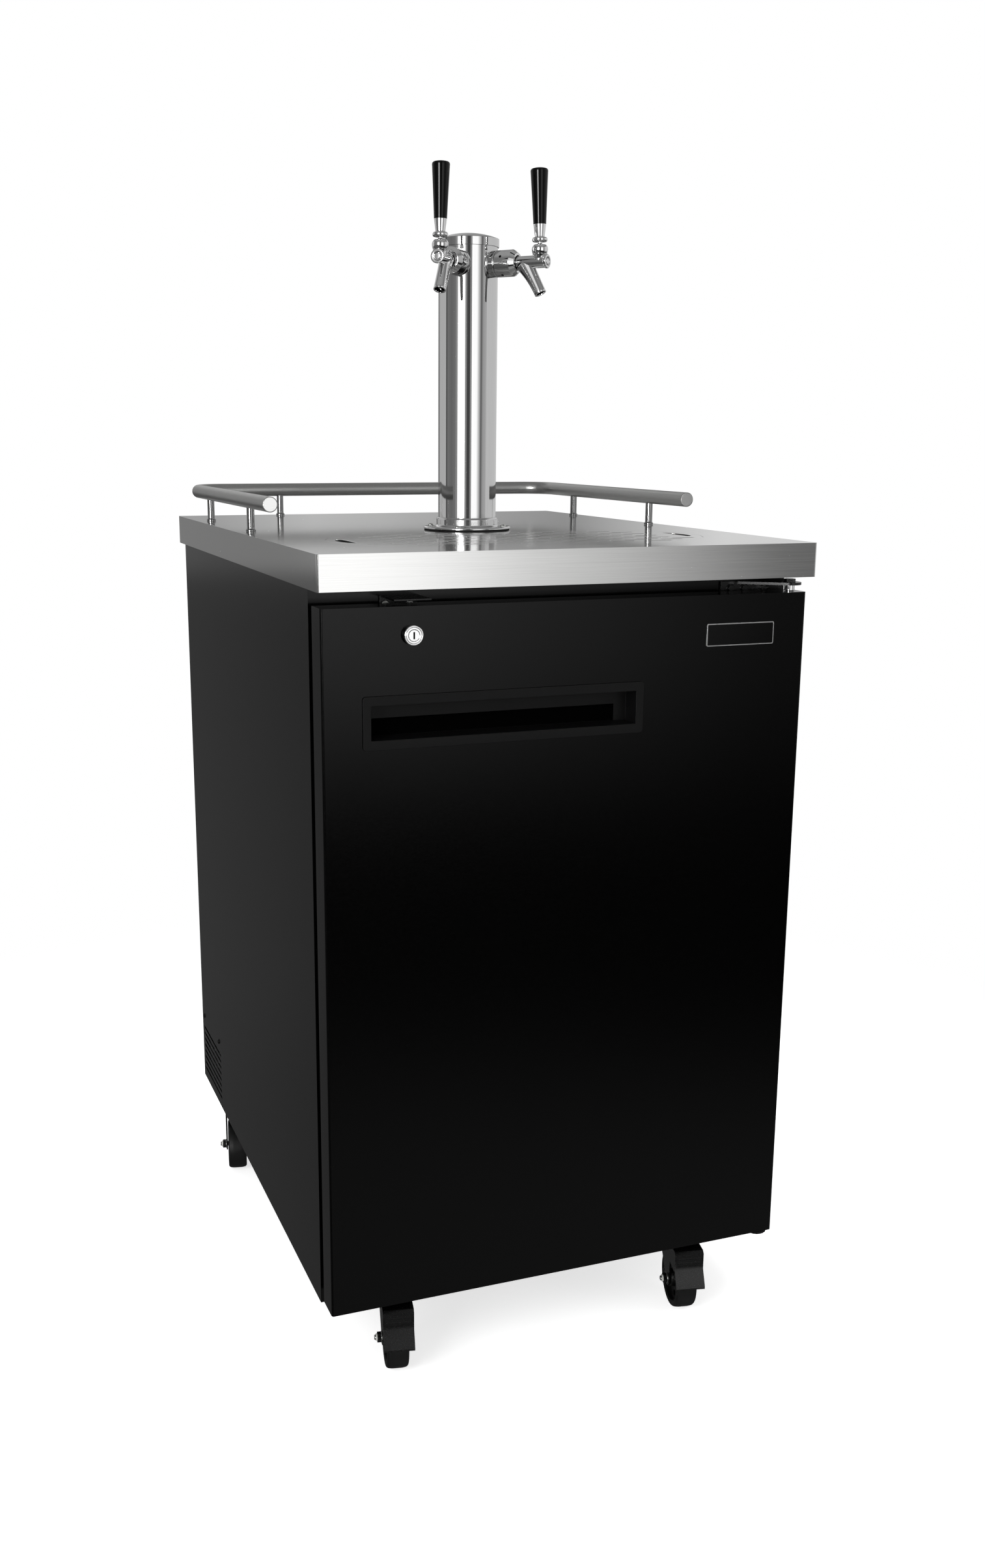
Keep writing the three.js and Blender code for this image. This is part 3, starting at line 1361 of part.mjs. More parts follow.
  if (withPedal) {
    const t = pedalSheet;
    const sheet = outline([
      [-pedalBack, pedalTop],
      [-pedalFace + t * 2, pedalTop],
      [-pedalFace, pedalTop - t * 2],
      [-pedalFace, pedalKnee],
      [-pedalFootY, pedalFootZ + t * 2],
      [-pedalFootY, pedalFootZ],
      [-pedalFootY + t, pedalFootZ],
      [-pedalFootY + t, pedalFootZ + t * 2],
      [-pedalFace + t, pedalKnee],
      [-pedalFace + t, pedalTop - t * 3],
      [-pedalFace + t * 3, pedalTop - t],
      [-pedalBack, pedalTop - t],
    ]);
    const face = extrudeAcross(sheet, -cheekOuter, cheekOuter);
    const cheekShape = outline([
      ...arcPoints(-pedalPivotY, pedalPivotZ, pedalTop - pedalPivotZ - t * 2, 90, -90, 6),
      [-pedalFace + t * 2, pedalCheekDrop - t * 4],
      [-pedalFace + t / 2, pedalKnee + t],
      [-pedalFace + t / 2, pedalTop - t * 2],
      [-pedalFace + t * 2, pedalTop - t / 2],
      [-pedalBack - t, pedalTop - t / 2],
    ]);
    const cheeks = [
      extrudeAcross(cheekShape, cheekInner, cheekOuter),
      extrudeAcross(cheekShape, -cheekOuter, -cheekInner)];
    const faceHeight = pedalTop - pedalKnee;
    const ribs = pedalRibShares.map((share) => {
      const z = pedalTop - faceHeight * share;
      const width = cheekOuter - t * 2;
      return extrudeAcross(outline([
        [-pedalFace + t / 2, z + pedalRibWidth / 2],
        [-pedalFace, z + pedalRibWidth / 2],
        [-pedalFace - pedalRibHeight, z],
        [-pedalFace, z - pedalRibWidth / 2],
        [-pedalFace + t / 2, z - pedalRibWidth / 2],
      ]), -width, width);
    });
    const pinHole = pointAcross(
      rod(turningBore(pedalPinRadius), -cheekOuter - overrun, cheekOuter + overrun, smallSides));
    pinHole.translate(0, -pedalPivotY, pedalPivotZ);
    turning.add(piece(`${name}_brake_pedal`, cut(join(face, ...cheeks, ...ribs), pinHole), casterBlack));
  }
  return [plate, turning];
}

const kegerator = new THREE.Group();
kegerator.add(
  ...cabinetPieces(),
  ...evaporatorPieces(),
  ...machinePieces(),
  ...worktopPieces(),
  ...railPieces(),
  ...towerPieces(),
  tap(-1, "left_tap"),
  tap(1, "right_tap"),
  ...doorPieces(),
  ...hingePieces(),
);
const casterFrontY = worktopFront + casterFrontFromFront;
const casterRearY = worktopBack - casterRearFromBack;
const casterFrontX = sideFace - casterFrontFromSide;
const casterRearX = sideFace - casterRearFromSide;
kegerator.add(
  ...caster("front_left", -casterFrontX, casterFrontY, true, true),
  ...caster("front_right", casterFrontX, casterFrontY, true, true),
  ...caster("rear_left", -casterRearX, casterRearY, false, false),
  ...caster("rear_right", casterRearX, casterRearY, false, false),
);

export default kegerator;
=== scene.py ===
# %% [markdown]
# # A keg cooler with a two-tap tower
#
# The object is a black steel cooler on casters. Its worktop is stainless steel with a sunk
# drip tray, a guard rail runs round three sides of it, and a polished tower carries two
# chrome taps with black handles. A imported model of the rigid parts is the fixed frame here,
# and each cell dresses one family of parts: first the tools, then the finishes, then the
# pieces from the cabinet and the tower down to the wheels, and last the studio.

# %% The frame
import math

import bmesh
import bpy
import numpy as np
from mathutils import Matrix, Vector


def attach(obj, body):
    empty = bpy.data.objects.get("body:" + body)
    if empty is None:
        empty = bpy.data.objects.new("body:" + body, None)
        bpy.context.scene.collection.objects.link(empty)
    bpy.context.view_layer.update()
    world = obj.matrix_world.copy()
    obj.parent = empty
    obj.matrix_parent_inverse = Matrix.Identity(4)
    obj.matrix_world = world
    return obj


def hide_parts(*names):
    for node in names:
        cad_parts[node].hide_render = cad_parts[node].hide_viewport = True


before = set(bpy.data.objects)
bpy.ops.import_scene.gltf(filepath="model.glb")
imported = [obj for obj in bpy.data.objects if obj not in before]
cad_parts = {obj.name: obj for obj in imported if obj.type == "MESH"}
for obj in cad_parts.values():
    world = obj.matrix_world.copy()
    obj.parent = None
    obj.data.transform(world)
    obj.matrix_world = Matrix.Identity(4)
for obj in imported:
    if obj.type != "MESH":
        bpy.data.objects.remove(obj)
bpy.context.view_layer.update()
MM = 0.001
X, Y, Z = np.eye(3)

# %% [markdown]
# ## The camera
#
# The picture was taken from the front left, a little above the worktop, with a normal lens.
# A pinhole camera was fitted to points of the picture, so its place, tilt and focal length
# are known in millimetres and pixels. The lens is given for a 36 mm long side, and the
# small shift moves the centre of the view to where the picture has it.

# %% The camera
PICTURE = (1513.0, 2408.0)
CAMERA_PLACE = np.array([-720.9, -1947.4, 1129.8]) * MM
CAMERA_AZIMUTH, CAMERA_TILT, CAMERA_ROLL = np.radians([20.52, 13.30, 0.254])
FOCAL_PIXELS = 2329.5
VIEW_CENTRE = (709.67, 1218.63)
FILM_MM = 36.0

back = np.array([
    -math.sin(CAMERA_AZIMUTH) * math.cos(CAMERA_TILT),
    -math.cos(CAMERA_AZIMUTH) * math.cos(CAMERA_TILT),
    math.sin(CAMERA_TILT),
])
right = np.cross(-back, Z)
right /= np.linalg.norm(right)
up = np.cross(back, right)
cr, sr = math.cos(CAMERA_ROLL), math.sin(CAMERA_ROLL)
camera_x, camera_y = cr * right + sr * up, -sr * right + cr * up
lens = bpy.data.cameras.new("picture_camera")
lens.sensor_width = FILM_MM
lens.lens = FOCAL_PIXELS / max(PICTURE) * FILM_MM
lens.shift_x = (PICTURE[0] / 2 - VIEW_CENTRE[0]) / max(PICTURE)
lens.shift_y = (VIEW_CENTRE[1] - PICTURE[1] / 2) / max(PICTURE)
lens.clip_start, lens.clip_end = 0.05, 60.0
camera = bpy.data.objects.new("picture_camera", lens)
bpy.context.scene.collection.objects.link(camera)
pose = Matrix(np.column_stack([camera_x, camera_y, back]).tolist()).to_4x4()
pose.translation = Vector(CAMERA_PLACE)
camera.matrix_world = pose
bpy.context.scene.camera = camera
print("camera: lens %.2f mm, shift %.4f %.4f" % (lens.lens, lens.shift_x, lens.shift_y))

# %% [markdown]
# ## Surfaces from numbers
#
# A surface is a grid of points with a face between each four neighbours. Blender takes the
# points and the faces as plain lists. Points that fall on each other are merged, so seams
# and poles are closed, and then all faces are turned outwards.

# %% From points to a mesh
SAME_POINT, NO_LENGTH = 1e-6, 1e-7


def grid_faces(rows, columns, closed=False):
    """The faces of a grid whose rows are circles: point j of row i joins its neighbour in the
    row and the same two points of the next row. Closed joins the last row to the first."""
    i, j = np.meshgrid(np.arange(rows if closed else rows - 1), np.arange(columns), indexing="ij")
    ahead, beside = (i + 1) % rows, (j + 1) % columns
    quads = [i * columns + j, i * columns + beside, ahead * columns + beside, ahead * columns + j]
    return np.stack(quads, -1).reshape(-1, 4).tolist()


def to_object(name, vertices, faces, material, smooth=True):
    """A mesh object at the origin, its doubled points merged and its faces turned outwards."""
    mesh = bpy.data.meshes.new(name)
    mesh.from_pydata(np.asarray(vertices, float).reshape(-1, 3).tolist(), [], faces)
    work = bmesh.new()
    work.from_mesh(mesh)
    bmesh.ops.remove_doubles(work, verts=work.verts, dist=SAME_POINT)
    bmesh.ops.dissolve_degenerate(work, edges=work.edges, dist=NO_LENGTH)
    bmesh.ops.recalc_face_normals(work, faces=work.faces)
    work.to_mesh(mesh)
    work.free()
    mesh.materials.append(material)
    mesh.polygons.foreach_set("use_smooth", np.full(len(mesh.polygons), smooth))
    piece = bpy.data.objects.new(name, mesh)
    bpy.context.scene.collection.objects.link(piece)
    return piece


print("faces of a tube of 2 rings and 48 sides:", len(grid_faces(2, 48)))

# %% [markdown]
# ## Sections carried along a line
#
# Almost every part of this object is a section carried along a line: a tube along a bent
# path, or a circle of changing radius along a straight axis, as a lathe makes it. One
# function makes them all, so each part below is only its profile. Corners are eased with
# short curves, because a real edge always catches a thin line of light.

# %% One skin for every carried section
def even_faces(piece):
    """Lets the largest face at each point set the light there, so that flat faces look flat."""
    piece.modifiers.new("even_faces", "WEIGHTED_NORMAL").keep_sharp = True
    return piece


def carried(name, centres, across, upward, half_across, half_up, material,
            sides=48, power=2.0, closed=False):
    """Carries a section along a path. At station i and angle t the point is
    centre_i + c(t) * half_across_i * across_i + s(t) * half_up_i * upward_i, where c and s are
    the cosine and sine raised to 2 / power with their signs kept: power 2 gives an ellipse,
    a higher one a rounded rectangle."""
    centres = np.atleast_2d(np.asarray(centres, float))
    count = len(centres)
    across = np.broadcast_to(np.asarray(across, float), (count, 3))
    upward = np.broadcast_to(np.asarray(upward, float), (count, 3))
    half_across = np.broadcast_to(np.asarray(half_across, float), (count,))
    half_up = np.broadcast_to(np.asarray(half_up, float), (count,))
    t = np.linspace(0, 2 * np.pi, sides, endpoint=False)
    c = np.sign(np.cos(t)) * np.abs(np.cos(t)) ** (2 / power)
    s = np.sign(np.sin(t)) * np.abs(np.sin(t)) ** (2 / power)
    points = (
        centres[:, None, :]
        + c[None, :, None] * (half_across[:, None] * across)[:, None, :]
        + s[None, :, None] * (half_up[:, None] * upward)[:, None, :]
    )
    faces = grid_faces(count, sides, closed)
    if not closed:
        faces += [list(range(sides))[::-1], list(range((count - 1) * sides, count * sides))]
    return even_faces(to_object(name, points, faces, material))


def eased(profile, radius, steps=5):
    """A polyline whose inner corners are replaced by short curves: each corner gives points of
    the parabola from radius before it to radius after it, limited to half of each side."""
    p = np.asarray(profile, float)
    before, here, after = p[:-2], p[1:-1], p[2:]
    la = np.linalg.norm(before - here, axis=1, keepdims=True)
    lb = np.linalg.norm(after - here, axis=1, keepdims=True)
    radius = np.broadcast_to(np.asarray(radius, float), (len(p),))[1:-1, None]
    start = here + (before - here) * np.minimum(radius / np.maximum(la, 1e-9), 0.5)
    end = here + (after - here) * np.minimum(radius / np.maximum(lb, 1e-9), 0.5)
    t = np.linspace(0, 1, steps)[None, :, None]
    curve = (1 - t) ** 2 * start[:, None] + 2 * t * (1 - t) * here[:, None] + t**2 * end[:, None]
    return np.vstack([p[:1], curve.reshape(-1, 2), p[-1:]])


def two_sides(axis):
    """Two unit vectors square to an axis and to each other."""
    axis = np.asarray(axis, float) / np.linalg.norm(axis)
    helper = Z if abs(axis[2]) < 0.9 else X
    first = np.cross(helper, axis)
    first /= np.linalg.norm(first)
    return first, np.cross(axis, first)


def revolved(name, profile, base, axis, material, ease=0.3, sides=64, ring=False):
    """Turns a profile of (radius, height) in millimetres about an axis through base: each
    height is a station on the axis, and the section there is a circle of that radius. A ring
    profile closes on itself, any other one starts and ends on the axis."""
    profile = np.asarray(profile, float)
    if ring:
        middle = (profile[0] + profile[-1]) / 2
        profile = np.vstack([middle, profile, middle])
    profile = eased(profile, ease) if ease else profile
    profile = profile[:-1] if ring else profile
    axis = np.asarray(axis, float) / np.linalg.norm(axis)
    first, second = two_sides(axis)
    centres = np.asarray(base, float)[None] + profile[:, 1:2] * axis[None]
    return carried(name, centres * MM, first, second, profile[:, 0] * MM, profile[:, 0] * MM,
                   material, sides, closed=ring)


print("points of one eased corner:", len(eased([(0, 0), (10, 0), (10, 10)], 2)) - 2)

# %% [markdown]
# ## Plates and folded edges
#
# A plate is an outline pushed along its thickness. Blender's Bevel modifier rounds its edges,
# and Weighted Normal then keeps the large faces flat in the light. The larger sheet parts
# are copies of the frame's solids with the same two modifiers, because their faces already
# lie where they should.

# %% Plates, edges and places
FLAT_ANGLE, FOLD_ANGLE = 0.6, 30.0


def soften(piece, width, segments=3, angle=35.0):
    """Rounds the sharp edges of a piece by width millimetres."""
    edge = piece.modifiers.new("eased_edges", "BEVEL")
    edge.width, edge.segments = width * MM, segments
    edge.limit_method, edge.angle_limit = "ANGLE", math.radians(angle)
    edge.use_clamp_overlap = True
    piece.data.polygons.foreach_set("use_smooth", np.ones(len(piece.data.polygons), bool))
    return even_faces(piece)


def slab(name, outline, low, high, frame_axes, material, bevel, origin=(0, 0, 0)):
    """A flat plate: an outline of (a, b) millimetres on two axes, from low to high on the
    third, moved to an origin."""
    a, b, n = (np.asarray(v, float) for v in frame_axes)
    flat = np.asarray(outline, float)
    count = len(flat)
    rings = [flat[:, :1] * a + flat[:, 1:] * b + level * n for level in (low, high)]
    faces = grid_faces(2, count) + [list(range(count))[::-1], list(range(count, 2 * count))]
    piece = to_object(name, np.vstack(rings) * MM, faces, material, smooth=False)
    piece.data.transform(Matrix.Translation(Vector(np.asarray(origin, float) * MM)))
    return soften(piece, bevel) if bevel else piece


def rounded_outline(low, high, radius, steps=8):
    """The outline of a rectangle between two corners with quarter circles of one radius."""
    (x0, y0), (x1, y1) = low, high
    t = np.radians(np.linspace(-90, 0, steps))
    quarter = np.stack([np.cos(t), np.sin(t)], -1) * radius
    turn = np.array([[0.0, 1.0], [-1.0, 0.0]])
    spots = [(x1 - radius, y0 + radius), (x1 - radius, y1 - radius),
             (x0 + radius, y1 - radius), (x0 + radius, y0 + radius)]
    return np.vstack([quarter @ np.linalg.matrix_power(turn, k) + spots[k] for k in range(4)])


def place(piece, body, slot, *replaced):
    """Joins a finished piece to its body and hides the solids that it stands for. The slot is not
    used.
    """
    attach(piece, body)
    if replaced:
        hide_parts(*replaced)
    return piece


def refined(node, name, width, segments, body, slot, material):
    """A copy of a solid of the frame with its triangles joined into whole faces and its edges
    rounded. It takes the solid's place."""
    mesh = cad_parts[node].data.copy()
    mesh.name = name
    work = bmesh.new()
    work.from_mesh(mesh)
    bmesh.ops.remove_doubles(work, verts=work.verts, dist=SAME_POINT)
    bmesh.ops.dissolve_limit(
        work, angle_limit=math.radians(FLAT_ANGLE), verts=work.verts, edges=work.edges)
    work.to_mesh(mesh)
    work.free()
    piece = bpy.data.objects.new(name, mesh)
    bpy.context.scene.collection.objects.link(piece)
    mesh.materials.clear()
    mesh.materials.append(material)
    soften(piece, width, segments, FOLD_ANGLE)
    return place(piece, body, slot, node)


print("points of a rounded outline:", len(rounded_outline((0, 0), (10, 10), 2)))

# %% [markdown]
# ## Finishes
#
# Each finish starts from the real one, except one near-black that is painted shade. A metal
# keeps its colour in the reflection and its grain in the roughness and the bump; a paint or
# plastic has a dark body under a thin gloss.
# Colours are written as the eye reads them on a screen and turned to linear light once.
# One noise pattern, stretched along the grain, sets colour, gloss and relief together,
# because a scratch or a ripple changes all three at the same spot.

# %% Nodes and colours
OCTAVES, OCTAVE_SHARE = 4.0, 0.6
COLOUR_RANGE, GLOSS_RANGE = (0.32, 0.68), (0.3, 0.7)


def linear(hex_colour):
    """An sRGB hex colour as linear light: below 0.04045 a straight line, above it a power
    of 2.4."""
    value = np.array([int(hex_colour[k:k + 2], 16) for k in (1, 3, 5)]) / 255
    light = np.where(value <= 0.04045, value / 12.92, ((value + 0.055) / 1.055) ** 2.4)
    return (*light.tolist(), 1.0)


def add(tree, kind, inputs=None, **settings):
    """Adds one node with its settings, its input values and its input links."""
    node = tree.nodes.new(kind)
    for key, value in settings.items():
        setattr(node, key, value)
    for key, value in (inputs or {}).items():
        if isinstance(value, bpy.types.NodeSocket):
            tree.links.new(value, node.inputs[key])
        else:
            node.inputs[key].default_value = value
    return node


def finish_of(name, colours, roughness, stretch, cell_mm, bump=0.0, spread=0.06, **shader):
    """A surface finish: a noise pattern stretched along the grain, with cells of about cell_mm
    across it, blends two colours, moves the roughness by spread and lifts the surface by bump
    millimetres. The other values go straight to the shader's own sockets."""
    material = bpy.data.materials.new(name)
    material.use_nodes = True
    tree = material.node_tree
    surface = tree.nodes["Principled BSDF"]
    spot = add(tree, "ShaderNodeTexCoord").outputs["Object"]
    scaled = add(tree, "ShaderNodeMapping", {"Vector": spot, "Scale": stretch}).outputs["Vector"]
    grain = add(tree, "ShaderNodeTexNoise", {
        "Vector": scaled, "Scale": 1 / MM / cell_mm, "Detail": OCTAVES,
        "Roughness": OCTAVE_SHARE}).outputs["Fac"]
    ramp = add(tree, "ShaderNodeValToRGB", {"Fac": grain})
    for stop, position, colour in zip(ramp.color_ramp.elements, COLOUR_RANGE, colours):
        stop.position, stop.color = position, linear(colour)
    tree.links.new(ramp.outputs["Color"], surface.inputs["Base Color"])
    rough = add(tree, "ShaderNodeMapRange", {
        "Value": grain, "From Min": GLOSS_RANGE[0], "From Max": GLOSS_RANGE[1],
        "To Min": roughness - spread, "To Max": roughness + spread})
    tree.links.new(rough.outputs["Result"], surface.inputs["Roughness"])
    if bump:
        relief = add(tree, "ShaderNodeBump", {
            "Height": grain, "Strength": 1.0, "Distance": bump * MM})
        tree.links.new(relief.outputs["Normal"], surface.inputs["Normal"])
    for key, value in shader.items():
        surface.inputs[key.replace("_", " ")].default_value = value
    return material


print("middle grey in linear light: %.3f" % linear("#808080")[0])

# %% [markdown]
# ## Steel, painted and bare
#
# The cabinet is folded sheet with a satin black powder coat. The worktop, grid and rail are
# brushed stainless steel, ground with belts, so fine scratches run one way; the grain here
# is drawn about ten times coarser than the real one, which would not show. The tower is
# polished, the posts are turned on a lathe, and the basin is drawn in a press.

# %% Finishes of the cabinet and worktop
EVEN = (1, 1, 1)
# Powder melts into a very slightly rippled skin: near black, with a weak, fairly sharp gloss.
powder_coat = finish_of(
    "satin_black_powder_coat", ("#010101", "#020202"), 0.17, EVEN, 2.2, bump=0.003,
    spread=0.02, Specular_IOR_Level=0.2)
# Belt-ground sheet, its scratches along X: a bright mirror that is blurred a little.
brushed_top = finish_of(
    "brushed_stainless_sheet", ("#cfcfce", "#d6d6d5"), 0.1, (0.012, 1, 1), 1.1, bump=0.0002,
    spread=0.02, Metallic=1.0)
# The rail's tube, its grain along its two sides: a grey metal with wide, soft bands.
brushed_tube = finish_of(
    "brushed_stainless_tube", ("#9e9e9d", "#acacab"), 0.42, (1, 0.03, 1), 0.9, bump=0.0006,
    spread=0.05, Metallic=1.0)
# Lathe-turned posts: a darker metal with clear, narrow bands.
turned_steel = finish_of(
    "turned_stainless", ("#828282", "#8e8e8e"), 0.14, (1, 1, 0.05), 0.8, spread=0.02,
    Metallic=1.0)
# The rail's ends, faced flat: they catch the light as two bright discs.
tube_end = finish_of(
    "faced_tube_end", ("#c8c8c7", "#d4d4d3"), 0.18, EVEN, 0.5, spread=0.03, Metallic=1.0)
# Buffed tube of the tower: almost a mirror, with faint lines up and down.
polished_steel = finish_of(
    "polished_stainless", ("#cdcdcd", "#d2d2d2"), 0.05, (1, 1, 0.02), 0.8, spread=0.015,
    Metallic=1.0)
# Deep-drawn sheet of the basin: duller than the worktop, as the drawing roughens it.
pressed_steel = finish_of(
    "pressed_stainless", ("#9c9c9b", "#adadac"), 0.3, (0.2, 1, 1), 1.6, bump=0.001,
    spread=0.06, Metallic=1.0)
print("finishes:", len(bpy.data.materials))

# %% [markdown]
# ## Chrome, plastic, rubber and hardware
#
# The taps are plated: chrome is a mirror with a cool white colour. The handles are turned
# plastic with a deep black gloss. The brackets and forks are enamelled, and the small
# hardware is zinc plated, a greyer and softer metal.

# %% Finishes of the taps, hardware and rubber
# Chrome plate over polished metal: every dark and light of the room, sharp.
chrome = finish_of(
    "chrome_plating", ("#dcdcdc", "#e2e2e2"), 0.035, EVEN, 3.0, spread=0.01, Metallic=1.0)
# Turned and polished plastic handles: black, with one thin, clear highlight.
gloss_black = finish_of(
    "gloss_black_plastic", ("#040404", "#060606"), 0.06, EVEN, 6.0, spread=0.01,
    Specular_IOR_Level=0.2)
# Moulded ABS: a fine, dull grain from the mould, which breaks the highlight.
moulded_black = finish_of(
    "moulded_black_abs", ("#070707", "#0b0b0b"), 0.45, EVEN, 0.7, bump=0.01,
    spread=0.04, Specular_IOR_Level=0.2)
# Soft rubber of the gaskets: matt, with hardly any highlight.
black_rubber = finish_of(
    "black_rubber", ("#0f0f0f", "#151515"), 0.75, EVEN, 1.2, bump=0.02, spread=0.06,
    Specular_IOR_Level=0.3)
# Hard rubber of the tyres: a wide, faint sheen over a slightly uneven skin.
tyre_rubber = finish_of(
    "hard_tyre_rubber", ("#0a0a0a", "#101010"), 0.5, EVEN, 1.6, bump=0.02, spread=0.08,
    Specular_IOR_Level=0.25)
# Dipped enamel of the forks and brackets: a satin black that runs a little uneven.
black_enamel = finish_of(
    "satin_black_enamel", ("#060606", "#0b0b0b"), 0.28, EVEN, 1.8, bump=0.006, spread=0.04,
    Specular_IOR_Level=0.35)
# Zinc plate on nuts and screws: light grey, with a mottled gloss.
zinc_plate = finish_of(
    "zinc_plated_steel", ("#b9bab8", "#cfd0cd"), 0.26, EVEN, 1.5, bump=0.004, spread=0.08,
    Metallic=1.0)
# Vacuum-formed polystyrene inside the cabinet: an even, slightly soft white.
white_liner = finish_of(
    "white_moulded_polystyrene", ("#d9d9d7", "#e1e1df"), 0.38, EVEN, 4.0, bump=0.01,
    spread=0.05)
# Mill-finish aluminium fins, rolled up and down: pale, with a streaky sheen.
fin_aluminium = finish_of(
    "mill_finish_aluminium", ("#a8aaab", "#bdbfc0"), 0.38, (1, 1, 0.1), 1.5, bump=0.003,
    spread=0.08, Metallic=1.0)
# Nylon ring of a lock nut: a waxy white.
white_nylon = finish_of(
    "white_nylon", ("#dfdfdb", "#ebebe7"), 0.4, EVEN, 1.0, bump=0.01, spread=0.05)
# Painted shade for deep holes, the keyhole and the hollow behind the pull's lip, where no light
# comes: a near-black with no highlight at all.
shadow_black = finish_of(
    "painted_shade_black", ("#030303", "#050505"), 0.9, EVEN, 2.0, spread=0.02,
    Specular_IOR_Level=0.0)
# Stamped foil round the door's plate: a satin silver, brushed along X.
silver_rim = finish_of(
    "satin_silver_foil", ("#b9b9b9", "#c7c7c7"), 0.3, (0.1, 1, 1), 0.8, spread=0.05,
    Metallic=1.0)
print("finishes:", len(bpy.data.materials))

# %% [markdown]
# ## Solids of the frame that keep their shape
#
# Flat and hidden parts are right as they are, so they only take a finish. The other solids
# get one too, by a word in their names, although finer pieces stand for them below.

# %% Finishes on the frame's own solids
KEPT = {
    white_liner: ["inner_liner", "evaporator_cover", "door_liner"],
    fin_aluminium: ["condenser"],
    black_enamel: ["compressor", "bottom_hinge", "top_hinge", "lock_strike"],
    powder_coat: ["rear_cover", "cabinet_case", "door_panel"],
    pressed_steel: ["drip_basin"],
    polished_steel: [
        "lock_bolt", "left_tap_shank", "right_tap_shank", "left_tap_shaft", "right_tap_shaft"],
    black_rubber: ["door_gasket", "tower_gasket"],
    brushed_top: ["worktop", "drip_grid"],
    brushed_tube: ["guard_rail"],
    moulded_black: ["pull_pocket", "evaporator_fan", "condenser_fan"],
}
BY_WORD = {
    "caster": black_enamel, "wheel": tyre_rubber, "pedal": black_enamel, "fork": black_enamel,
    "post": polished_steel, "tower": polished_steel, "handle": gloss_black, "lock": chrome,
    "tap": chrome,
}
for node_name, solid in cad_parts.items():
    chosen = next((finish for finish, names in KEPT.items() if node_name in names), None)
    if chosen is None:
        chosen = next(finish for word, finish in BY_WORD.items() if word in node_name)
    solid.data.materials.clear()
    solid.data.materials.append(chosen)
print("solids finished:", len(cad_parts))

# %% [markdown]
# ## Cabinet, worktop and door
#
# Folded sheet has small, even radii at its edges. The frame's solids have the right faces,
# so copies of them get those radii, and every edge then shows its thin highlight. The pull
# is a moulded cup let into the door: its lip shows, but no light reaches the hollow behind
# it, so the faces further back than the lip take painted shade, a near-black matt finish.

# %% Folded edges
folded = [
    refined("cabinet_case", "cabinet_shell", 0.9, 2, "cabinet", "cabinet_black", powder_coat),
    refined("worktop", "worktop_board", 0.8, 3, "cabinet", "brushed", brushed_top),
    refined("door_panel", "door_skin", 2.2, 4, "door", "cabinet_black", powder_coat),
    refined("pull_pocket", "pull_cup", 0.5, 3, "door", "plastic_black", moulded_black),
    refined("drip_grid", "drip_grating", 0.35, 2, "drip_grid", "brushed", brushed_top),
]
PULL_LIP_Y = -364.8
cup = next(piece.data for piece in folded if piece.name == "pull_cup")
centre = np.zeros((len(cup.polygons), 3))
cup.polygons.foreach_get("center", centre.ravel())
# painted shade: the faces behind the lip take the near-black finish in place of the hollow's
# shadow
painted_shade_faces = centre[:, 1] > PULL_LIP_Y * MM
cup.materials.append(shadow_black)
cup.polygons.foreach_set("material_index", painted_shade_faces.astype(np.int32))
print("folded:", len(folded), "pieces,", painted_shade_faces.sum(), "dark faces in the pull")

# %% [markdown]
# ## Guard rail
#
# The rail is one bent stainless tube with flat turned ends. Its centre line is straight,
# a quarter circle, straight, a quarter circle and straight again. A thin faced disc closes
# each end, because the cut metal is brighter than the ground tube.

# %% Guard rail
RAIL_RADIUS, RAIL_Z, RAIL_X = 9.525, 1046.7, 285.0
RAIL_BACK, RAIL_FRONT, RAIL_BEND = 378.0, -114.5, 45.0
END_EASE = (0.35, 0.6)


def rail_line(bend_points=20, straight_points=12):
    """The centre line: straight along Y, a quarter circle, then straight along X to the middle
    of the back; the other half is its mirror image."""
    y = np.linspace(RAIL_FRONT, RAIL_BACK - RAIL_BEND, straight_points)
    side = np.stack([np.full_like(y, -RAIL_X), y], -1)
    t = np.linspace(np.pi, np.pi / 2, bend_points)[1:]
    bend = np.stack([-RAIL_X + RAIL_BEND + RAIL_BEND * np.cos(t),
                     RAIL_BACK - RAIL_BEND + RAIL_BEND * np.sin(t)], -1)
    x = np.linspace(-RAIL_X + RAIL_BEND, 0, straight_points)[1:]
    run = np.stack([x, np.full_like(x, RAIL_BACK)], -1)
    half = np.vstack([side, bend, run])
    return np.vstack([half, (half * [-1, 1])[::-1][1:]])


line = rail_line()
start = [-RAIL_X, RAIL_FRONT]
lead = np.array([start, start, [-RAIL_X, RAIL_FRONT + END_EASE[0]]])
line = np.vstack([lead, line[1:-1], (lead * [-1, 1])[::-1]])
heading = np.gradient(line, axis=0)
heading[:3], heading[-3:] = [0, 1], [0, -1]
heading /= np.linalg.norm(heading, axis=1, keepdims=True)
sideways = np.stack([heading[:, 1], -heading[:, 0], np.zeros(len(line))], -1)
thickness = np.full(len(line), RAIL_RADIUS)
thickness[[0, -1]], thickness[[1, -2]] = 0.0, RAIL_RADIUS - END_EASE[1]
rail = carried(
    "guard_rail_tube", np.column_stack([line, np.full(len(line), RAIL_Z)]) * MM, sideways, Z,
    thickness * MM, thickness * MM, brushed_tube, sides=56)
place(rail, "cabinet", "brushed", "guard_rail")
for side, sign in (("left", -1), ("right", 1)):
    face = revolved(
        "rail_end_" + side, [(0, -0.3), (8.7, -0.3), (8.7, 0.04), (8.4, 0.14), (0, 0.14)],
        (sign * RAIL_X, RAIL_FRONT, RAIL_Z), -Y, tube_end, 0.1, 48)
    place(face, "cabinet", "brushed")
print("rail:", len(line), "stations and two end discs")

# %% [markdown]
# ## Posts
#
# The rail stands on six little turned columns with a ring at the foot. One profile, turned
# about six axes, makes them all.

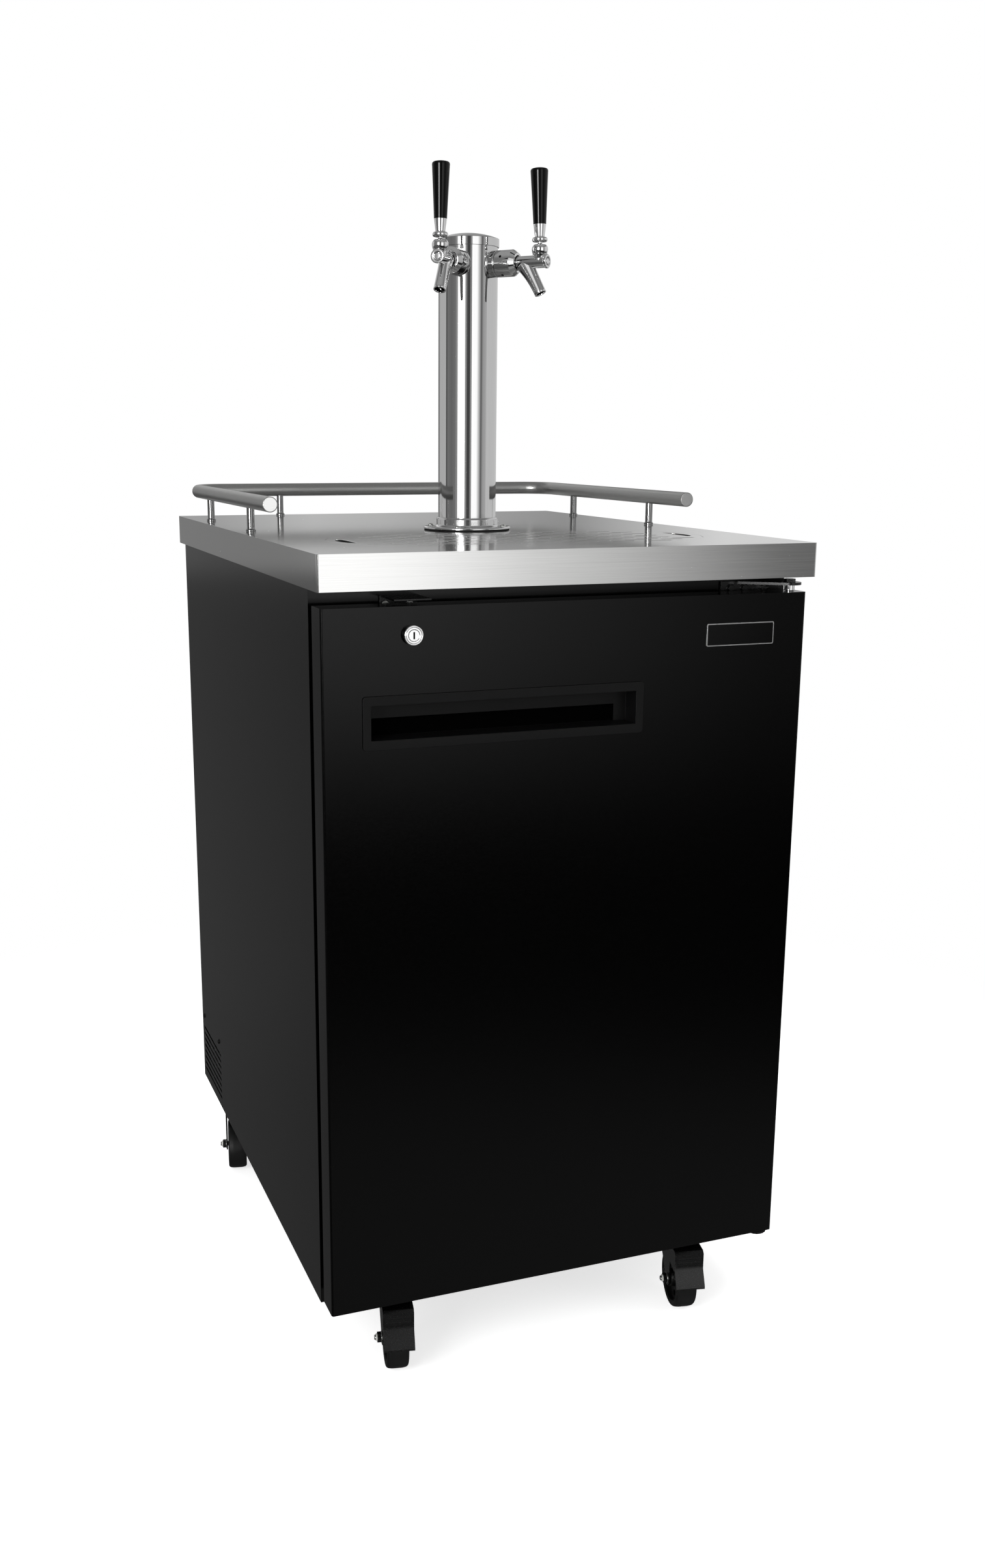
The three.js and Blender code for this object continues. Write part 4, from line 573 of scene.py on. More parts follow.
# %% Posts
POST_FRONT_Y, POST_MIDDLE_Y, POST_BACK_X = -6.0, 249.0, 152.0
POSTS = {
    "post_front_left": (-RAIL_X, POST_FRONT_Y), "post_middle_left": (-RAIL_X, POST_MIDDLE_Y),
    "post_back_left": (-POST_BACK_X, RAIL_BACK), "post_back_right": (POST_BACK_X, RAIL_BACK),
    "post_middle_right": (RAIL_X, POST_MIDDLE_Y), "post_front_right": (RAIL_X, POST_FRONT_Y),
}
for name, (px, py) in POSTS.items():
    column = revolved(name + "_turned", [
        (0, 1008.2), (6.5, 1008.2), (6.5, 1010.4), (5.4, 1010.9), (5.0, 1012.4), (5.0, 1038.6),
        (0, 1038.6)], (px, py, 0), Z, turned_steel, ease=0.35, sides=40)
    place(column, "cabinet", "polished", name)
print("posts:", len(POSTS))

# %% [markdown]
# ## Tower
#
# A 3 inch polished tube stands in a collar on a flange, over a thin black gasket. A cap
# closes it, with a fine seam between cap and tube. The cap's top is a very flat dome, part
# of a ball of 110 mm radius, so it mirrors the ceiling. Four small dome screws hold the
# flange.

# %% Tower
TOWER = np.array([0.0, -34.9, 0.0])
gasket = revolved("tower_gasket_ring", [
    (38.5, 1008.1), (56.5, 1008.1), (56.5, 1009.5), (38.5, 1009.5)],
    TOWER, Z, black_rubber, 0.2, 96, ring=True)
place(gasket, "cabinet", "rubber_black", "tower_gasket")
flange = revolved("tower_flange_turned", [
    (38.3, 1009.7), (57.7, 1009.7), (57.7, 1011.2), (56.4, 1012.6), (45.0, 1012.9),
    (41.6, 1013.3), (40.7, 1014.6), (40.7, 1021.6), (39.6, 1023.9), (38.3, 1024.1)],
    TOWER, Z, polished_steel, 0.5, 112, ring=True)
place(flange, "cabinet", "polished", "tower_flange")
tube = revolved("tower_tube", [
    (36.1, 1010.0), (38.1, 1010.0), (38.1, 1365.2), (36.1, 1365.2)],
    TOWER, Z, polished_steel, 0.3, 128, ring=True)
place(tube, "cabinet", "polished", "tower_column")
CAP_RADIUS, CAP_EDGE_Z, DOME_RADIUS = 39.6, 1372.4, 110.0
out_to_edge = np.linspace(0, 39.0, 14)
dome_rise = (CAP_RADIUS**2 - out_to_edge**2) / (2 * DOME_RADIUS)
dome = np.column_stack([out_to_edge, CAP_EDGE_Z + dome_rise])
cap = revolved("tower_cap_spun", np.vstack([dome, [
    (39.6, 1372.2), (39.6, 1362.1), (38.5, 1362.1), (38.5, 1365.6), (35.8, 1365.6),
    (35.8, 1355.8), (33.8, 1355.8), (33.8, 1370.0), (0, 1370.0)]]),
    TOWER, Z, polished_steel, 0.4, 112)
place(cap, "cabinet", "polished", "tower_cap")
SCREW_TURNS, SCREW_CIRCLE, FLANGE_FACE_Z = np.radians([55, 150, 235, 325]), 49.0, 1012.4
for number, turn in enumerate(SCREW_TURNS):
    around = [SCREW_CIRCLE * math.cos(turn), SCREW_CIRCLE * math.sin(turn), FLANGE_FACE_Z]
    screw = revolved("flange_screw_%d" % (number + 1), [
        (0, 0), (4.0, 0), (4.0, 0.7), (3.4, 1.9), (2.0, 2.6), (1.1, 2.7), (1.0, 1.5), (0, 1.5)],
        TOWER + around, Z, zinc_plate, 0.2, 32)
    place(screw, "cabinet", "zinc")
print("tower: the cap's dome rises %.1f mm" % dome_rise[0])

# %% [markdown]
# ## Taps
#
# Each tap is a line of turned pieces pointing out of the tower: the end of the shank in a
# polished collar, a coupling nut with four holes for a spanner, and a slim barrel with a
# flared end. Every one is a profile on the same axis, measured from the tower's middle.

# %% Shank, nut and barrel
SHANK_Z, TAP_TURN = 1340.6, math.radians(40.0)
NUT_HOLES_AT, HOLE_START = 54.0, {-1: 64, 1: 26}


def tap_barrel(tap, axis, out, sign):
    """The turned pieces on the tap's own axis, from the tower outwards."""
    collar = revolved(tap + "_shank_collar", [
        (11.0, 20.0), (11.0, 30.0), (16.3, 36.3), (16.3, 43.6), (15.6, 44.3), (4.0, 44.3),
        (4.0, 59.6), (3.9, 20.0)], axis, out, polished_steel, 0.4, 64, ring=True)
    place(collar, "cabinet", "polished", tap + "_shank")
    nut = revolved(tap + "_coupling_turned", [
        (11.6, 44.7), (15.7, 44.7), (16.3, 45.4), (16.3, 66.2), (12.0, 71.9), (9.0, 72.0),
        (9.0, 60.5), (11.6, 60.3)], axis, out, chrome, 0.5, 80, ring=True)
    for k in range(4):
        around = math.radians(HOLE_START[sign] + 90 * k)
        outwards = math.cos(around) * np.cross(out, Z) + math.sin(around) * Z
        # each spanner hole is a thin near-black disc on the nut: painted shade where the hole is
        hole = revolved("%s_spanner_hole_shade_%d" % (tap, k + 1), [
            (0, 16.2), (1.7, 16.2), (1.7, 16.4), (0, 16.4)],
            axis + out * NUT_HOLES_AT, outwards, shadow_black, 0.0, 24)
        place(hole, "cabinet", "plastic_black")
    place(nut, "cabinet", "chrome", tap + "_coupling_nut")
    barrel = revolved(tap + "_barrel", [
        (0, 60.4), (13.0, 60.4), (13.0, 64.0), (7.7, 64.2), (7.7, 110.4), (8.5, 111.2),
        (8.5, 113.4), (7.9, 114.0), (5.6, 114.0), (5.0, 113.0), (4.5, 113.0), (4.4, 110.0),
        (0, 110.0)], axis, out, chrome, 0.35, 64)
    place(barrel, "cabinet", "chrome", tap + "_body")
    return [collar, nut, barrel]


# %% [markdown]
# The spout bends down from the barrel and narrows along the bend. Its centre line is a
# parabola, and the section is an ellipse square to it. The same sections run back up inside
# as the bore, so the mouth is open and has a wall, and a thin vane stands in the bend.

# %% Spout
SPOUT_AT, MOUTH, BEND_POINT = 80.0, np.array([24.4, -38.2]), np.array([0.525, 0.45])
TALL_AT_ROOT, TALL_AT_MOUTH, WIDE = 12.0, 7.4, 7.5
LIP_WALL, BORE_WALL, BORE_END = 0.9, 1.5, 0.42


def tap_spout(tap, axis, out):
    """An ellipse carried down a curve. At u from 0 to 1 the centre is 2u(1 - u) times the
    bend's point plus u squared times the mouth; the half height falls with (1 - u) squared
    from root to mouth, and the half width stays nearly even."""
    u = np.concatenate([np.linspace(0, 1, 18), [1.0], np.linspace(1, BORE_END, 10)])[:, None]
    wall = np.concatenate([np.zeros(18), [LIP_WALL], np.full(10, BORE_WALL)])
    bend = BEND_POINT * MOUTH
    curve = 2 * u * (1 - u) * bend + u**2 * MOUTH
    slope = 2 * (1 - u) * bend + 2 * u * (MOUTH - bend)
    slope /= np.linalg.norm(slope, axis=1, keepdims=True)
    centres = axis + out * SPOUT_AT + curve[:, :1] * out + curve[:, 1:] * Z
    upward = -slope[:, 1:] * out + slope[:, :1] * Z
    tall = TALL_AT_MOUTH + (TALL_AT_ROOT - TALL_AT_MOUTH) * (1 - u[:, 0]) ** 2 - wall
    wide = WIDE + 1.2 * (u[:, 0] - 0.5) ** 2 - wall
    sidewards = np.cross(out, Z)
    spout = carried(
        tap + "_spout", centres * MM, sidewards, upward, wide * MM, tall * MM, chrome, sides=56)
    place(spout, "cabinet", "chrome")
    vane = slab(tap + "_spout_vane", [
        (92.5, -26.0), (102.5, -22.5), (109.0, -35.2), (98.2, -38.2)],
        -0.5, 0.5, (out, Z, sidewards), chrome, 0.0, axis)
    place(vane, "cabinet", "chrome")
    return [spout, vane]


# %% [markdown]
# A short flared neck on the barrel holds the bonnet, a ring with a waist through which the
# lever goes. The lever's foot is a ball, so it can tilt forward. Its top carries a silver
# ferrule and a black handle that widens upwards, and the shaft in the barrel slides as the
# lever tilts.

# %% Neck, bonnet, lever and handle
STEM_AT, PIVOT_RISE, STEM_LEAN = 102.5, 15.4, math.radians(-1.5)
GRIP_FOOT, GRIP_TOP, GRIP_FOOT_Z, GRIP_LENGTH = 8.05, 11.0, 28.8, 62.5


def tap_lever(tap, side, axis, out):
    """The pieces on the stem's axis: a fixed neck and bonnet, and the lever with its handle.
    The handle's radius grows from foot to top with the height to the power 1.05."""
    stem = axis + out * STEM_AT
    neck = revolved(tap + "_neck", [(0, 1.0), (7.9, 1.0), (8.3, 5.0), (9.2, 9.1), (0, 9.1)],
                    stem, Z, chrome, [0.3, 0.3, 3.0, 0.3, 0.3], 56)
    place(neck, "cabinet", "chrome")
    bonnet = revolved(tap + "_bonnet_turned", [
        (6.4, 9.4), (9.3, 9.4), (10.2, 13.0), (10.1, 17.0), (7.8, 19.9), (5.5, 19.9),
        (5.6, 18.0), (6.4, 17.0)], stem, Z, chrome,
        [0.3, 0.3, 0.3, 2.6, 2.2, 0.6, 0.3, 0.3, 0.3, 0.3], 64, ring=True)
    place(bonnet, "cabinet", "chrome", tap + "_bonnet")
    plug = revolved(tap + "_shaft_end", [
        (0, 69.0), (3.9, 69.0), (3.9, 113.2), (3.3, 113.8), (0, 113.8)],
        axis, out, chrome, 0.3, 40)
    place(plug, side + "_shaft", "polished", tap + "_shaft")

    pivot = stem + Z * PIVOT_RISE
    upright = math.cos(STEM_LEAN) * Z + math.sin(STEM_LEAN) * out
    lever = revolved(tap + "_lever_turned", [
        (0, -16.3), (1.8, -16.3), (1.8, -5.8), (4.4, -4.1), (5.9, -1.2), (5.9, 1.6), (4.2, 4.4),
        (2.6, 5.6), (2.6, 7.6), (8.4, 7.7), (9.6, 8.9), (9.6, 11.6), (8.6, 13.2), (0, 13.2)],
        pivot, upright, chrome, [0.5] * 9 + [0.9, 0.9, 1.2, 1.2, 0.5], 64)
    place(lever, side + "_lever", "chrome", tap + "_lever")
    ferrule = revolved(tap + "_ferrule", [
        (0, 13.4), (5.7, 13.4), (6.0, 13.8), (7.85, 28.3), (7.7, 28.7), (0, 28.7)],
        pivot, upright, chrome, 0.3, 56)
    place(ferrule, side + "_lever", "chrome")
    h = np.linspace(0, 1, 26)[:-1]
    swell = GRIP_FOOT + (GRIP_TOP - GRIP_FOOT) * h**1.05
    grip = np.column_stack([swell, GRIP_FOOT_Z + GRIP_LENGTH * h])
    crown = [(11.0, 90.4), (10.75, 92.0), (9.6, 93.2), (7.0, 93.9), (3.5, 94.2), (0, 94.25)]
    handle = revolved(tap + "_handle_turned", np.vstack([[(0, GRIP_FOOT_Z)], grip, crown]),
                      pivot, upright, gloss_black, 0.25, 72)
    place(handle, side + "_lever", "handle_black", tap + "_handle")
    return [neck, bonnet, plug, lever, ferrule, handle]


# %% Both taps
tap_pieces = []
for side, sign in (("left", -1), ("right", 1)):
    tap, turn = side + "_tap", TAP_TURN * sign
    out = np.array([math.sin(turn), -math.cos(turn), 0.0])
    axis = TOWER + Z * SHANK_Z
    tap_pieces += tap_barrel(tap, axis, out, sign)
    tap_pieces += tap_spout(tap, axis, out)
    tap_pieces += tap_lever(tap, side, axis, out)
print("tap pieces:", len(tap_pieces))

# %% [markdown]
# ## Lock and plate on the door
#
# The lock's face is a bright ring round a plug with a keyhole. The ring stays with the door
# and the plug turns in it, so they are two pieces. The plate is a thin black one with a
# silver rim, and it carries nothing.

# %% Lock and plate
DOOR_FRONT, DOOR_AXES = -390.0, (X, Z, -Y)
LOCK = np.array([-196.6, DOOR_FRONT, 918.3])
lock_ring = revolved("lock_ring", [
    (6.3, 6.6), (6.8, 7.0), (8.6, 7.0), (9.0, 6.4), (9.4, 7.0), (10.4, 7.0), (11.2, 6.2),
    (11.2, 0.2), (9.0, 0.2), (9.0, -21.5), (6.4, -21.5)], LOCK, -Y, chrome, 0.25, 72, ring=True)
place(lock_ring, "door", "chrome", "lock_barrel")
lock_face = revolved("lock_plug_face", [
    (0, -27.0), (4.0, -27.0), (4.0, -21.5), (6.15, -21.5), (6.15, 6.2), (5.7, 6.7), (0, 6.7)],
    LOCK, -Y, chrome, 0.2, 48)
place(lock_face, "lock_plug", "chrome")
# the keyhole is a thin near-black slab on the plug's face: painted shade where the slot is
keyhole = slab("keyhole", rounded_outline((-0.9, -4.0), (0.9, 4.0), 0.6, 5), 6.6, 6.82,
               DOOR_AXES, shadow_black, 0.0, LOCK)
place(keyhole, "lock_plug", "plastic_black")
PLATE_LOW, PLATE_HIGH, RIM_WIDTH = np.array([166.4, 889.5]), np.array([256.5, 916.3]), 1.3
rim = slab("plate_rim", rounded_outline(PLATE_LOW, PLATE_HIGH, 2.2),
           -DOOR_FRONT, -DOOR_FRONT + 1.1, DOOR_AXES, silver_rim, 0.35)
place(rim, "door", "zinc")
inset = slab("plate_face", rounded_outline(PLATE_LOW + RIM_WIDTH, PLATE_HIGH - RIM_WIDTH, 1.4),
             -DOOR_FRONT + 0.9, -DOOR_FRONT + 1.3, DOOR_AXES, gloss_black, 0.15)
place(inset, "door", "handle_black")
print("lock at", LOCK, "and a bare plate of", PLATE_HIGH - PLATE_LOW, "mm")

# %% [markdown]
# ## Hinges, strike and screws
#
# The brackets are stamped plate in black enamel, held by hexagon screws with a round flange
# under the head. A bright bushing shows between the upper arm and the door.

# %% Brackets and screws
CASE_FRONT, HINGE = -343.3, np.array([287.0, -372.0, 0.0])
LARGE, SMALL = (8.0, 3.2, 5.4), (6.5, 2.6, 4.4)
SCREWS = [
    ("hinge_screw", [223, 242, 270], 951.5, LARGE, black_enamel, 12, "bracket_black"),
    ("lower_hinge_screw", [228, 262], 114.5, SMALL, black_enamel, 0, "bracket_black"),
    ("strike_screw", [-212, -184], 947, SMALL, zinc_plate, 0, "zinc"),
]


def hex_screw(name, spot, axis, across, height, washer, material, turn):
    """A hexagon head with a flange: six flat sides over a round washer face."""
    first, second = two_sides(axis)
    t = np.radians(turn) + np.linspace(0, 2 * np.pi, 7)[:-1]
    outline = np.stack([np.cos(t), np.sin(t)], -1) * (across / math.sqrt(3))
    head = slab(name, outline, 0.8, height, (first, second, axis), material, 0.35, spot)
    disc = revolved(name + "_washer", [
        (0, 0), (washer, 0), (washer, 0.6), (washer - 0.5, 0.9), (0, 0.9)],
        spot, axis, material, 0.2, 28)
    return [head, disc]


refined("top_hinge", "upper_hinge_bracket", 0.5, 3, "cabinet", "bracket_black", black_enamel)
refined("bottom_hinge", "lower_hinge_bracket", 0.5, 3, "cabinet", "bracket_black", black_enamel)
refined("lock_strike", "strike_bracket", 0.3, 2, "cabinet", "zinc", black_enamel)
bush = revolved("hinge_bushing", [(4.2, 950.1), (6.2, 950.1), (6.2, 956.8), (4.2, 956.8)],
                HINGE, Z, chrome, 0.3, 40, ring=True)
place(bush, "cabinet", "chrome")
for name, places, screw_z, sizes, metal, turn, slot in SCREWS:
    for number, screw_x in enumerate(places):
        screw = hex_screw("%s_%d" % (name, number + 1), (screw_x, CASE_FRONT, screw_z), -Y,
                          *sizes, metal, turn * number)
        for part in screw:
            place(part, "cabinet", slot)
print("screws:", sum(len(row[1]) for row in SCREWS))

# %% [markdown]
# Two low screws show on each side of the cabinet. Their heads are shallow domes with a
# round socket, so a turned profile is enough.

# %% Screws on the cabinet sides
SIDE_X, SIDE_SCREWS_Y, SIDE_SCREW_Z = 299.5, [370, 255], 209
for side, sign in (("left", -1), ("right", 1)):
    for number, screw_y in enumerate(SIDE_SCREWS_Y):
        head = revolved("%s_side_screw_%d" % (side, number + 1), [
            (0, 0), (4.2, 0), (4.2, 0.5), (3.2, 1.6), (1.2, 2.0), (1.1, 1.2), (0, 1.2)],
            (sign * SIDE_X, screw_y, SIDE_SCREW_Z), X * sign, black_enamel, 0.2, 28)
        place(head, "cabinet", "bracket_black")
print("side screws:", 2 * len(SIDE_SCREWS_Y))

# %% [markdown]
# ## Casters
#
# A caster is a pressed fork on a ball race, with a wheel on a bolt. The wheel is one
# turned form: hub, dished web with holes, rim and a rounded tyre. All four trail a little
# to one side, as they do after the cooler is rolled into place. The front pair have a brake
# pedal with three raised ribs.

# %% Wheels
CASTERS = {
    "front_left": (-199.0, -310.0), "front_right": (199.0, -310.0),
    "rear_left": (-270.0, 279.0), "rear_right": (270.0, 279.0),
}
CASTER_TURN = math.radians(-12.0)
TRAIL, AXLE_Z, FORK_HALF, HOLE_CIRCLE = 34.0, 38.0, 17.0, 20.0
trail_way = np.array([math.sin(CASTER_TURN), -math.cos(CASTER_TURN), 0.0])
axle_way = np.array([math.cos(CASTER_TURN), math.sin(CASTER_TURN), 0.0])


def dress_wheel(name, hub):
    """A tyre and a rim turned about the axle, with five holes on each side of the web drawn as
    near-black discs of painted shade.
    """
    wheel = name + "_wheel"
    tyre = revolved(name + "_tyre", [
        (30.5, -12.6), (32.5, -14.0), (35.2, -13.8), (37.2, -11.6), (38.0, -6.0), (38.0, 6.0),
        (37.2, 11.6), (35.2, 13.8), (32.5, 14.0), (30.5, 12.6)],
        hub, axle_way, tyre_rubber, 1.6, 96, ring=True)
    place(tyre, wheel, "tyre_black", wheel)
    rim = revolved(name + "_rim", [
        (4.6, -14.0), (9.5, -14.0), (11.0, -12.5), (11.8, -7.5), (28.2, -7.5), (29.4, -12.9),
        (30.8, -13.4), (30.8, 13.4), (29.4, 12.9), (28.2, 7.5), (11.8, 7.5), (11.0, 12.5),
        (9.5, 14.0), (4.6, 14.0)], hub, axle_way, moulded_black, 0.8, 72, ring=True)
    place(rim, wheel, "plastic_black")
    for k in range(5):
        around = 2 * math.pi * k / 5
        spot = hub + HOLE_CIRCLE * (math.cos(around) * trail_way + math.sin(around) * Z)
        for label, face in (("out", -1), ("in", 1)):
            # each hole is a thin near-black disc on the web: painted shade where the hole is
            hole = revolved("%s_rim_hole_%d_%s" % (name, k + 1, label), [
                (0, 7.4), (4.0, 7.4), (4.0, 7.62), (0, 7.62)],
                spot, axle_way * face, shadow_black, 0.0, 20)
            place(hole, wheel, "plastic_black")


# %% [markdown]
# The fork carries the wheel on a bolt, with its head on one side and a lock nut with a
# nylon ring on the other, where the bolt's end stands out.

# %% Forks, axles and pedals
def dress_fork(name, hub):
    """A fork with rounded edges, and the nut, ring, bolt end and head on its two sides."""
    fork, nut_side = name + "_fork", hub - FORK_HALF * axle_way
    refined(fork, name + "_fork_pressing", 0.5, 2, fork, "caster_black", black_enamel)
    for part in hex_screw(name + "_axle_nut", nut_side, -axle_way, 10.0, 5.6, 7.0, zinc_plate, 10):
        place(part, fork, "zinc")
    insert = revolved(name + "_nut_insert", [(3.4, 5.4), (4.6, 5.4), (4.4, 7.2), (3.4, 7.4)],
                      nut_side, -axle_way, white_nylon, 0.3, 32, ring=True)
    place(insert, fork, "plastic_black")
    stud = revolved(name + "_axle_end", [(0, 0), (3.3, 0), (3.3, 8.4), (2.6, 9.2), (0, 9.2)],
                    nut_side, -axle_way, zinc_plate, 0.2, 32)
    place(stud, fork, "zinc")
    for part in hex_screw(name + "_axle_head", hub + FORK_HALF * axle_way, axle_way,
                          10.0, 4.6, 7.0, zinc_plate, 20):
        place(part, fork, "zinc")


for name, (cx, cy) in CASTERS.items():
    hub = np.array([cx, cy, 0.0]) + TRAIL * trail_way + AXLE_Z * Z
    dress_wheel(name, hub)
    dress_fork(name, hub)
    refined(name + "_caster_plate", name + "_top_plate", 0.5, 2, "cabinet", "caster_black",
            black_enamel)
for name in ("front_left", "front_right"):
    refined(name + "_brake_pedal", name + "_pedal_pressing", 0.6, 3, name + "_pedal",
            "caster_black", black_enamel)
print("casters:", len(CASTERS))

# %% [markdown]
# ## Floor
#
# The picture has a white ground with a faint shadow. The floor is a pale disc that fades
# out, so its edge never shows. A little light of its own, which only rays from the camera
# or from a glossy or clear surface see, lifts it to white without lighting the object.
# Reflections don't meet the disc at all: they see the ground of the studio room below.

# %% Floor
FLOOR_FADE, FLOOR_LIFT, FLOOR_RADIUS = (0.7, 1.5), 0.68, 3.0
FLOOR_RINGS, FLOOR_SIDES = 8, 64


def seen_rays(tree):
    """Gives 1 for a ray from the camera or from a glossy or clear surface, and 0 for others:
    the largest of three values of the light path."""
    path = add(tree, "ShaderNodeLightPath").outputs
    seen = path["Is Camera Ray"]
    for kind in ("Is Glossy Ray", "Is Transmission Ray"):
        larger = add(tree, "ShaderNodeMath", {0: seen, 1: path[kind]}, operation="MAXIMUM")
        seen = larger.outputs[0]
    return seen


floor_material = bpy.data.materials.new("pale_floor")
floor_material.use_nodes = True
tree = floor_material.node_tree
surface = tree.nodes["Principled BSDF"]
surface.inputs["Base Color"].default_value = linear("#f4f4f4")
surface.inputs["Roughness"].default_value = 0.9
surface.inputs["Specular IOR Level"].default_value = 0.1
surface.inputs["Emission Color"].default_value = linear("#ffffff")
own_light = add(tree, "ShaderNodeMath", {0: seen_rays(tree), 1: FLOOR_LIFT}, operation="MULTIPLY")
tree.links.new(own_light.outputs[0], surface.inputs["Emission Strength"])
spot = add(tree, "ShaderNodeTexCoord").outputs["Object"]
distance = add(tree, "ShaderNodeVectorMath", {0: spot}, operation="LENGTH").outputs["Value"]
fade = add(tree, "ShaderNodeMapRange", {
    "Value": distance, "From Min": FLOOR_FADE[0], "From Max": FLOOR_FADE[1]},
    interpolation_type="SMOOTHSTEP")
clear = add(tree, "ShaderNodeBsdfTransparent")
faded = add(tree, "ShaderNodeMixShader", {
    0: fade.outputs["Result"], 1: surface.outputs[0], 2: clear.outputs[0]})
tree.links.new(faded.outputs[0], tree.nodes["Material Output"].inputs["Surface"])

ring_radius = np.linspace(0, FLOOR_RADIUS, FLOOR_RINGS)[:, None]
turns = np.linspace(0, 2 * np.pi, FLOOR_SIDES, endpoint=False)
disc_points = np.stack([
    ring_radius * np.cos(turns), ring_radius * np.sin(turns), 0 * ring_radius * turns], -1)
floor = to_object("floor", disc_points, grid_faces(FLOOR_RINGS, FLOOR_SIDES), floor_material)
floor.visible_glossy = False
print("floor:", len(floor.data.polygons), "faces, gone at", FLOOR_FADE[1], "m")

# %% [markdown]
# ## World
#
# Behind the floor the world is plain white for the camera. Light that reaches the object
# from it is half as strong, so the white ground doesn't wash out the shadows.

# %% World
SEEN_WHITE, SOFT_WHITE = 1.0, 0.5
world = bpy.data.worlds.new("white_studio")
bpy.context.scene.world = world
world.use_nodes = True
tree = world.node_tree
tree.nodes.clear()
soft, white = (
    add(tree, "ShaderNodeBackground", {"Color": (1, 1, 1, 1), "Strength": strength}).outputs[0]
    for strength in (SOFT_WHITE, SEEN_WHITE))
both = add(tree, "ShaderNodeMixShader", {0: seen_rays(tree), 1: soft, 2: white})
add(tree, "ShaderNodeOutputWorld", {"Surface": both.outputs[0]})
print("world:", len(tree.nodes), "nodes")

# %% [markdown]
# ## Lamps
#
# Three large soft lamps light the object at a plain level, strongest from the front left,
# where the picture's light comes from. Reflections don't see them, because the studio room
# holds the shapes that metal and gloss mirror.

# %% Lamps
LAMPS = {
    "key_lamp": ((-2.6, -2.2, 2.2), (0, 0, 0.7), (1.6, 1.8), 60),
    "fill_lamp": ((2.6, -2.6, 1.6), (0, 0, 0.6), (1.4, 1.8), 12),
    "top_lamp": ((0, 0, 3.2), (0, 0, 0.9), (2.0, 2.0), 25),
}
for name, (from_m, aim_m, size, watts) in LAMPS.items():
    data = bpy.data.lights.new(name, "AREA")
    data.shape, data.size, data.size_y, data.energy = "RECTANGLE", size[0], size[1], watts
    light = bpy.data.objects.new(name, data)
    bpy.context.scene.collection.objects.link(light)
    light.location = from_m
    light.rotation_mode = "QUATERNION"
    light.rotation_quaternion = (Vector(aim_m) - Vector(from_m)).to_track_quat("-Z", "Y")
    light.visible_glossy = False
print("lamps:", len(LAMPS))

# %% [markdown]
# ## Studio room
#
# Polished metal shows the room round it, so a round room stands for the studio: soft boxes
# beside the camera, dark gaps between them, grey walls and a dim ceiling. Only reflections
# see it, and it gives the object no other light. Its levels are read off a list of compass
# directions, 0 in front, 90 on the right and -90 on the left, and were set by comparing the
# tower and taps with the picture band by band. Further rules change the levels with height,
# in degrees over the floor's level.

# %% Levels of the studio room
ROOM = [
    (-200, 0.42), (-197, 0.48), (-194, 0.50), (-190, 0.35), (-175, 0.28), (-170, 0.235),
    (-163, 0.22), (-160, 0.58), (-115, 0.62), (-113, 0.13), (-107, 0.13), (-105, 0.23),
    (-85, 0.19), (-68, 0.24), (-66, 0.37), (-60, 0.40), (-59, 1.6), (-50, 1.6), (-48, 36),
    (-42, 32), (-38, 6), (-34, 2.5), (-31, 1.6), (-30, 0.40), (-25, 0.36), (-22, 0.08),
    (-12, 0.08), (-10, 0.38), (-5, 0.40), (-4, 1.6), (15, 1.55), (18, 1.36), (22, 0.93),
    (26, 0.69), (29.5, 0.42), (32, 0.21), (35, 0.16), (38, 0.30), (42, 0.46), (56, 0.56),
    (60, 0.74), (128, 0.72), (140, 0.70), (148.2, 0.71), (150.7, 0.55), (154.8, 0.30),
    (160, 0.40),
]
ROOM_RADIUS, ROOM_COLUMNS = 12.0, 720
CEILING, ZENITH = 0.2, 0.36
LOW_WALL, GROUND = (0.01, 0.105), (0.28, 0.09)  # in the front sector, and behind
FRONT_SECTOR = (25, 62, 25)  # middle, half width and blur, in degrees
REAR_GLOW, REAR_SECTOR = 0.3, (125, 30, 15)
LAMP_FOOT, LAMP_LIMIT = 0.5, 1.6
HIGH_LIMIT, HIGH_START, HIGH_BLUR = 0.9, 17, 4
CARD, CARD_SECTOR, CARD_HEIGHTS = 0.95, (-182, 16, 5), (28, 17, 6)
room_rows = np.concatenate([
    np.linspace(-90, -32, 8), np.linspace(-28, -3, 18), np.linspace(-2.5, 0, 8),
    np.linspace(2, 30, 6), np.linspace(32, 40, 5), np.linspace(46, 90, 6)])
print("room:", len(ROOM), "levels,", len(room_rows), "rows")


# %% Studio room that only reflections see
def band(angle, middle, half, blur):
    """1 near a middle angle, falling evenly to 0 over the last blur degrees of half."""
    return np.clip((half - np.abs(angle - middle)) / blur, 0, 1)


def rise(angle, start, blur):
    """0 up to a start angle, rising evenly to 1 over blur degrees."""
    return np.clip((angle - start) / blur, 0, 1)


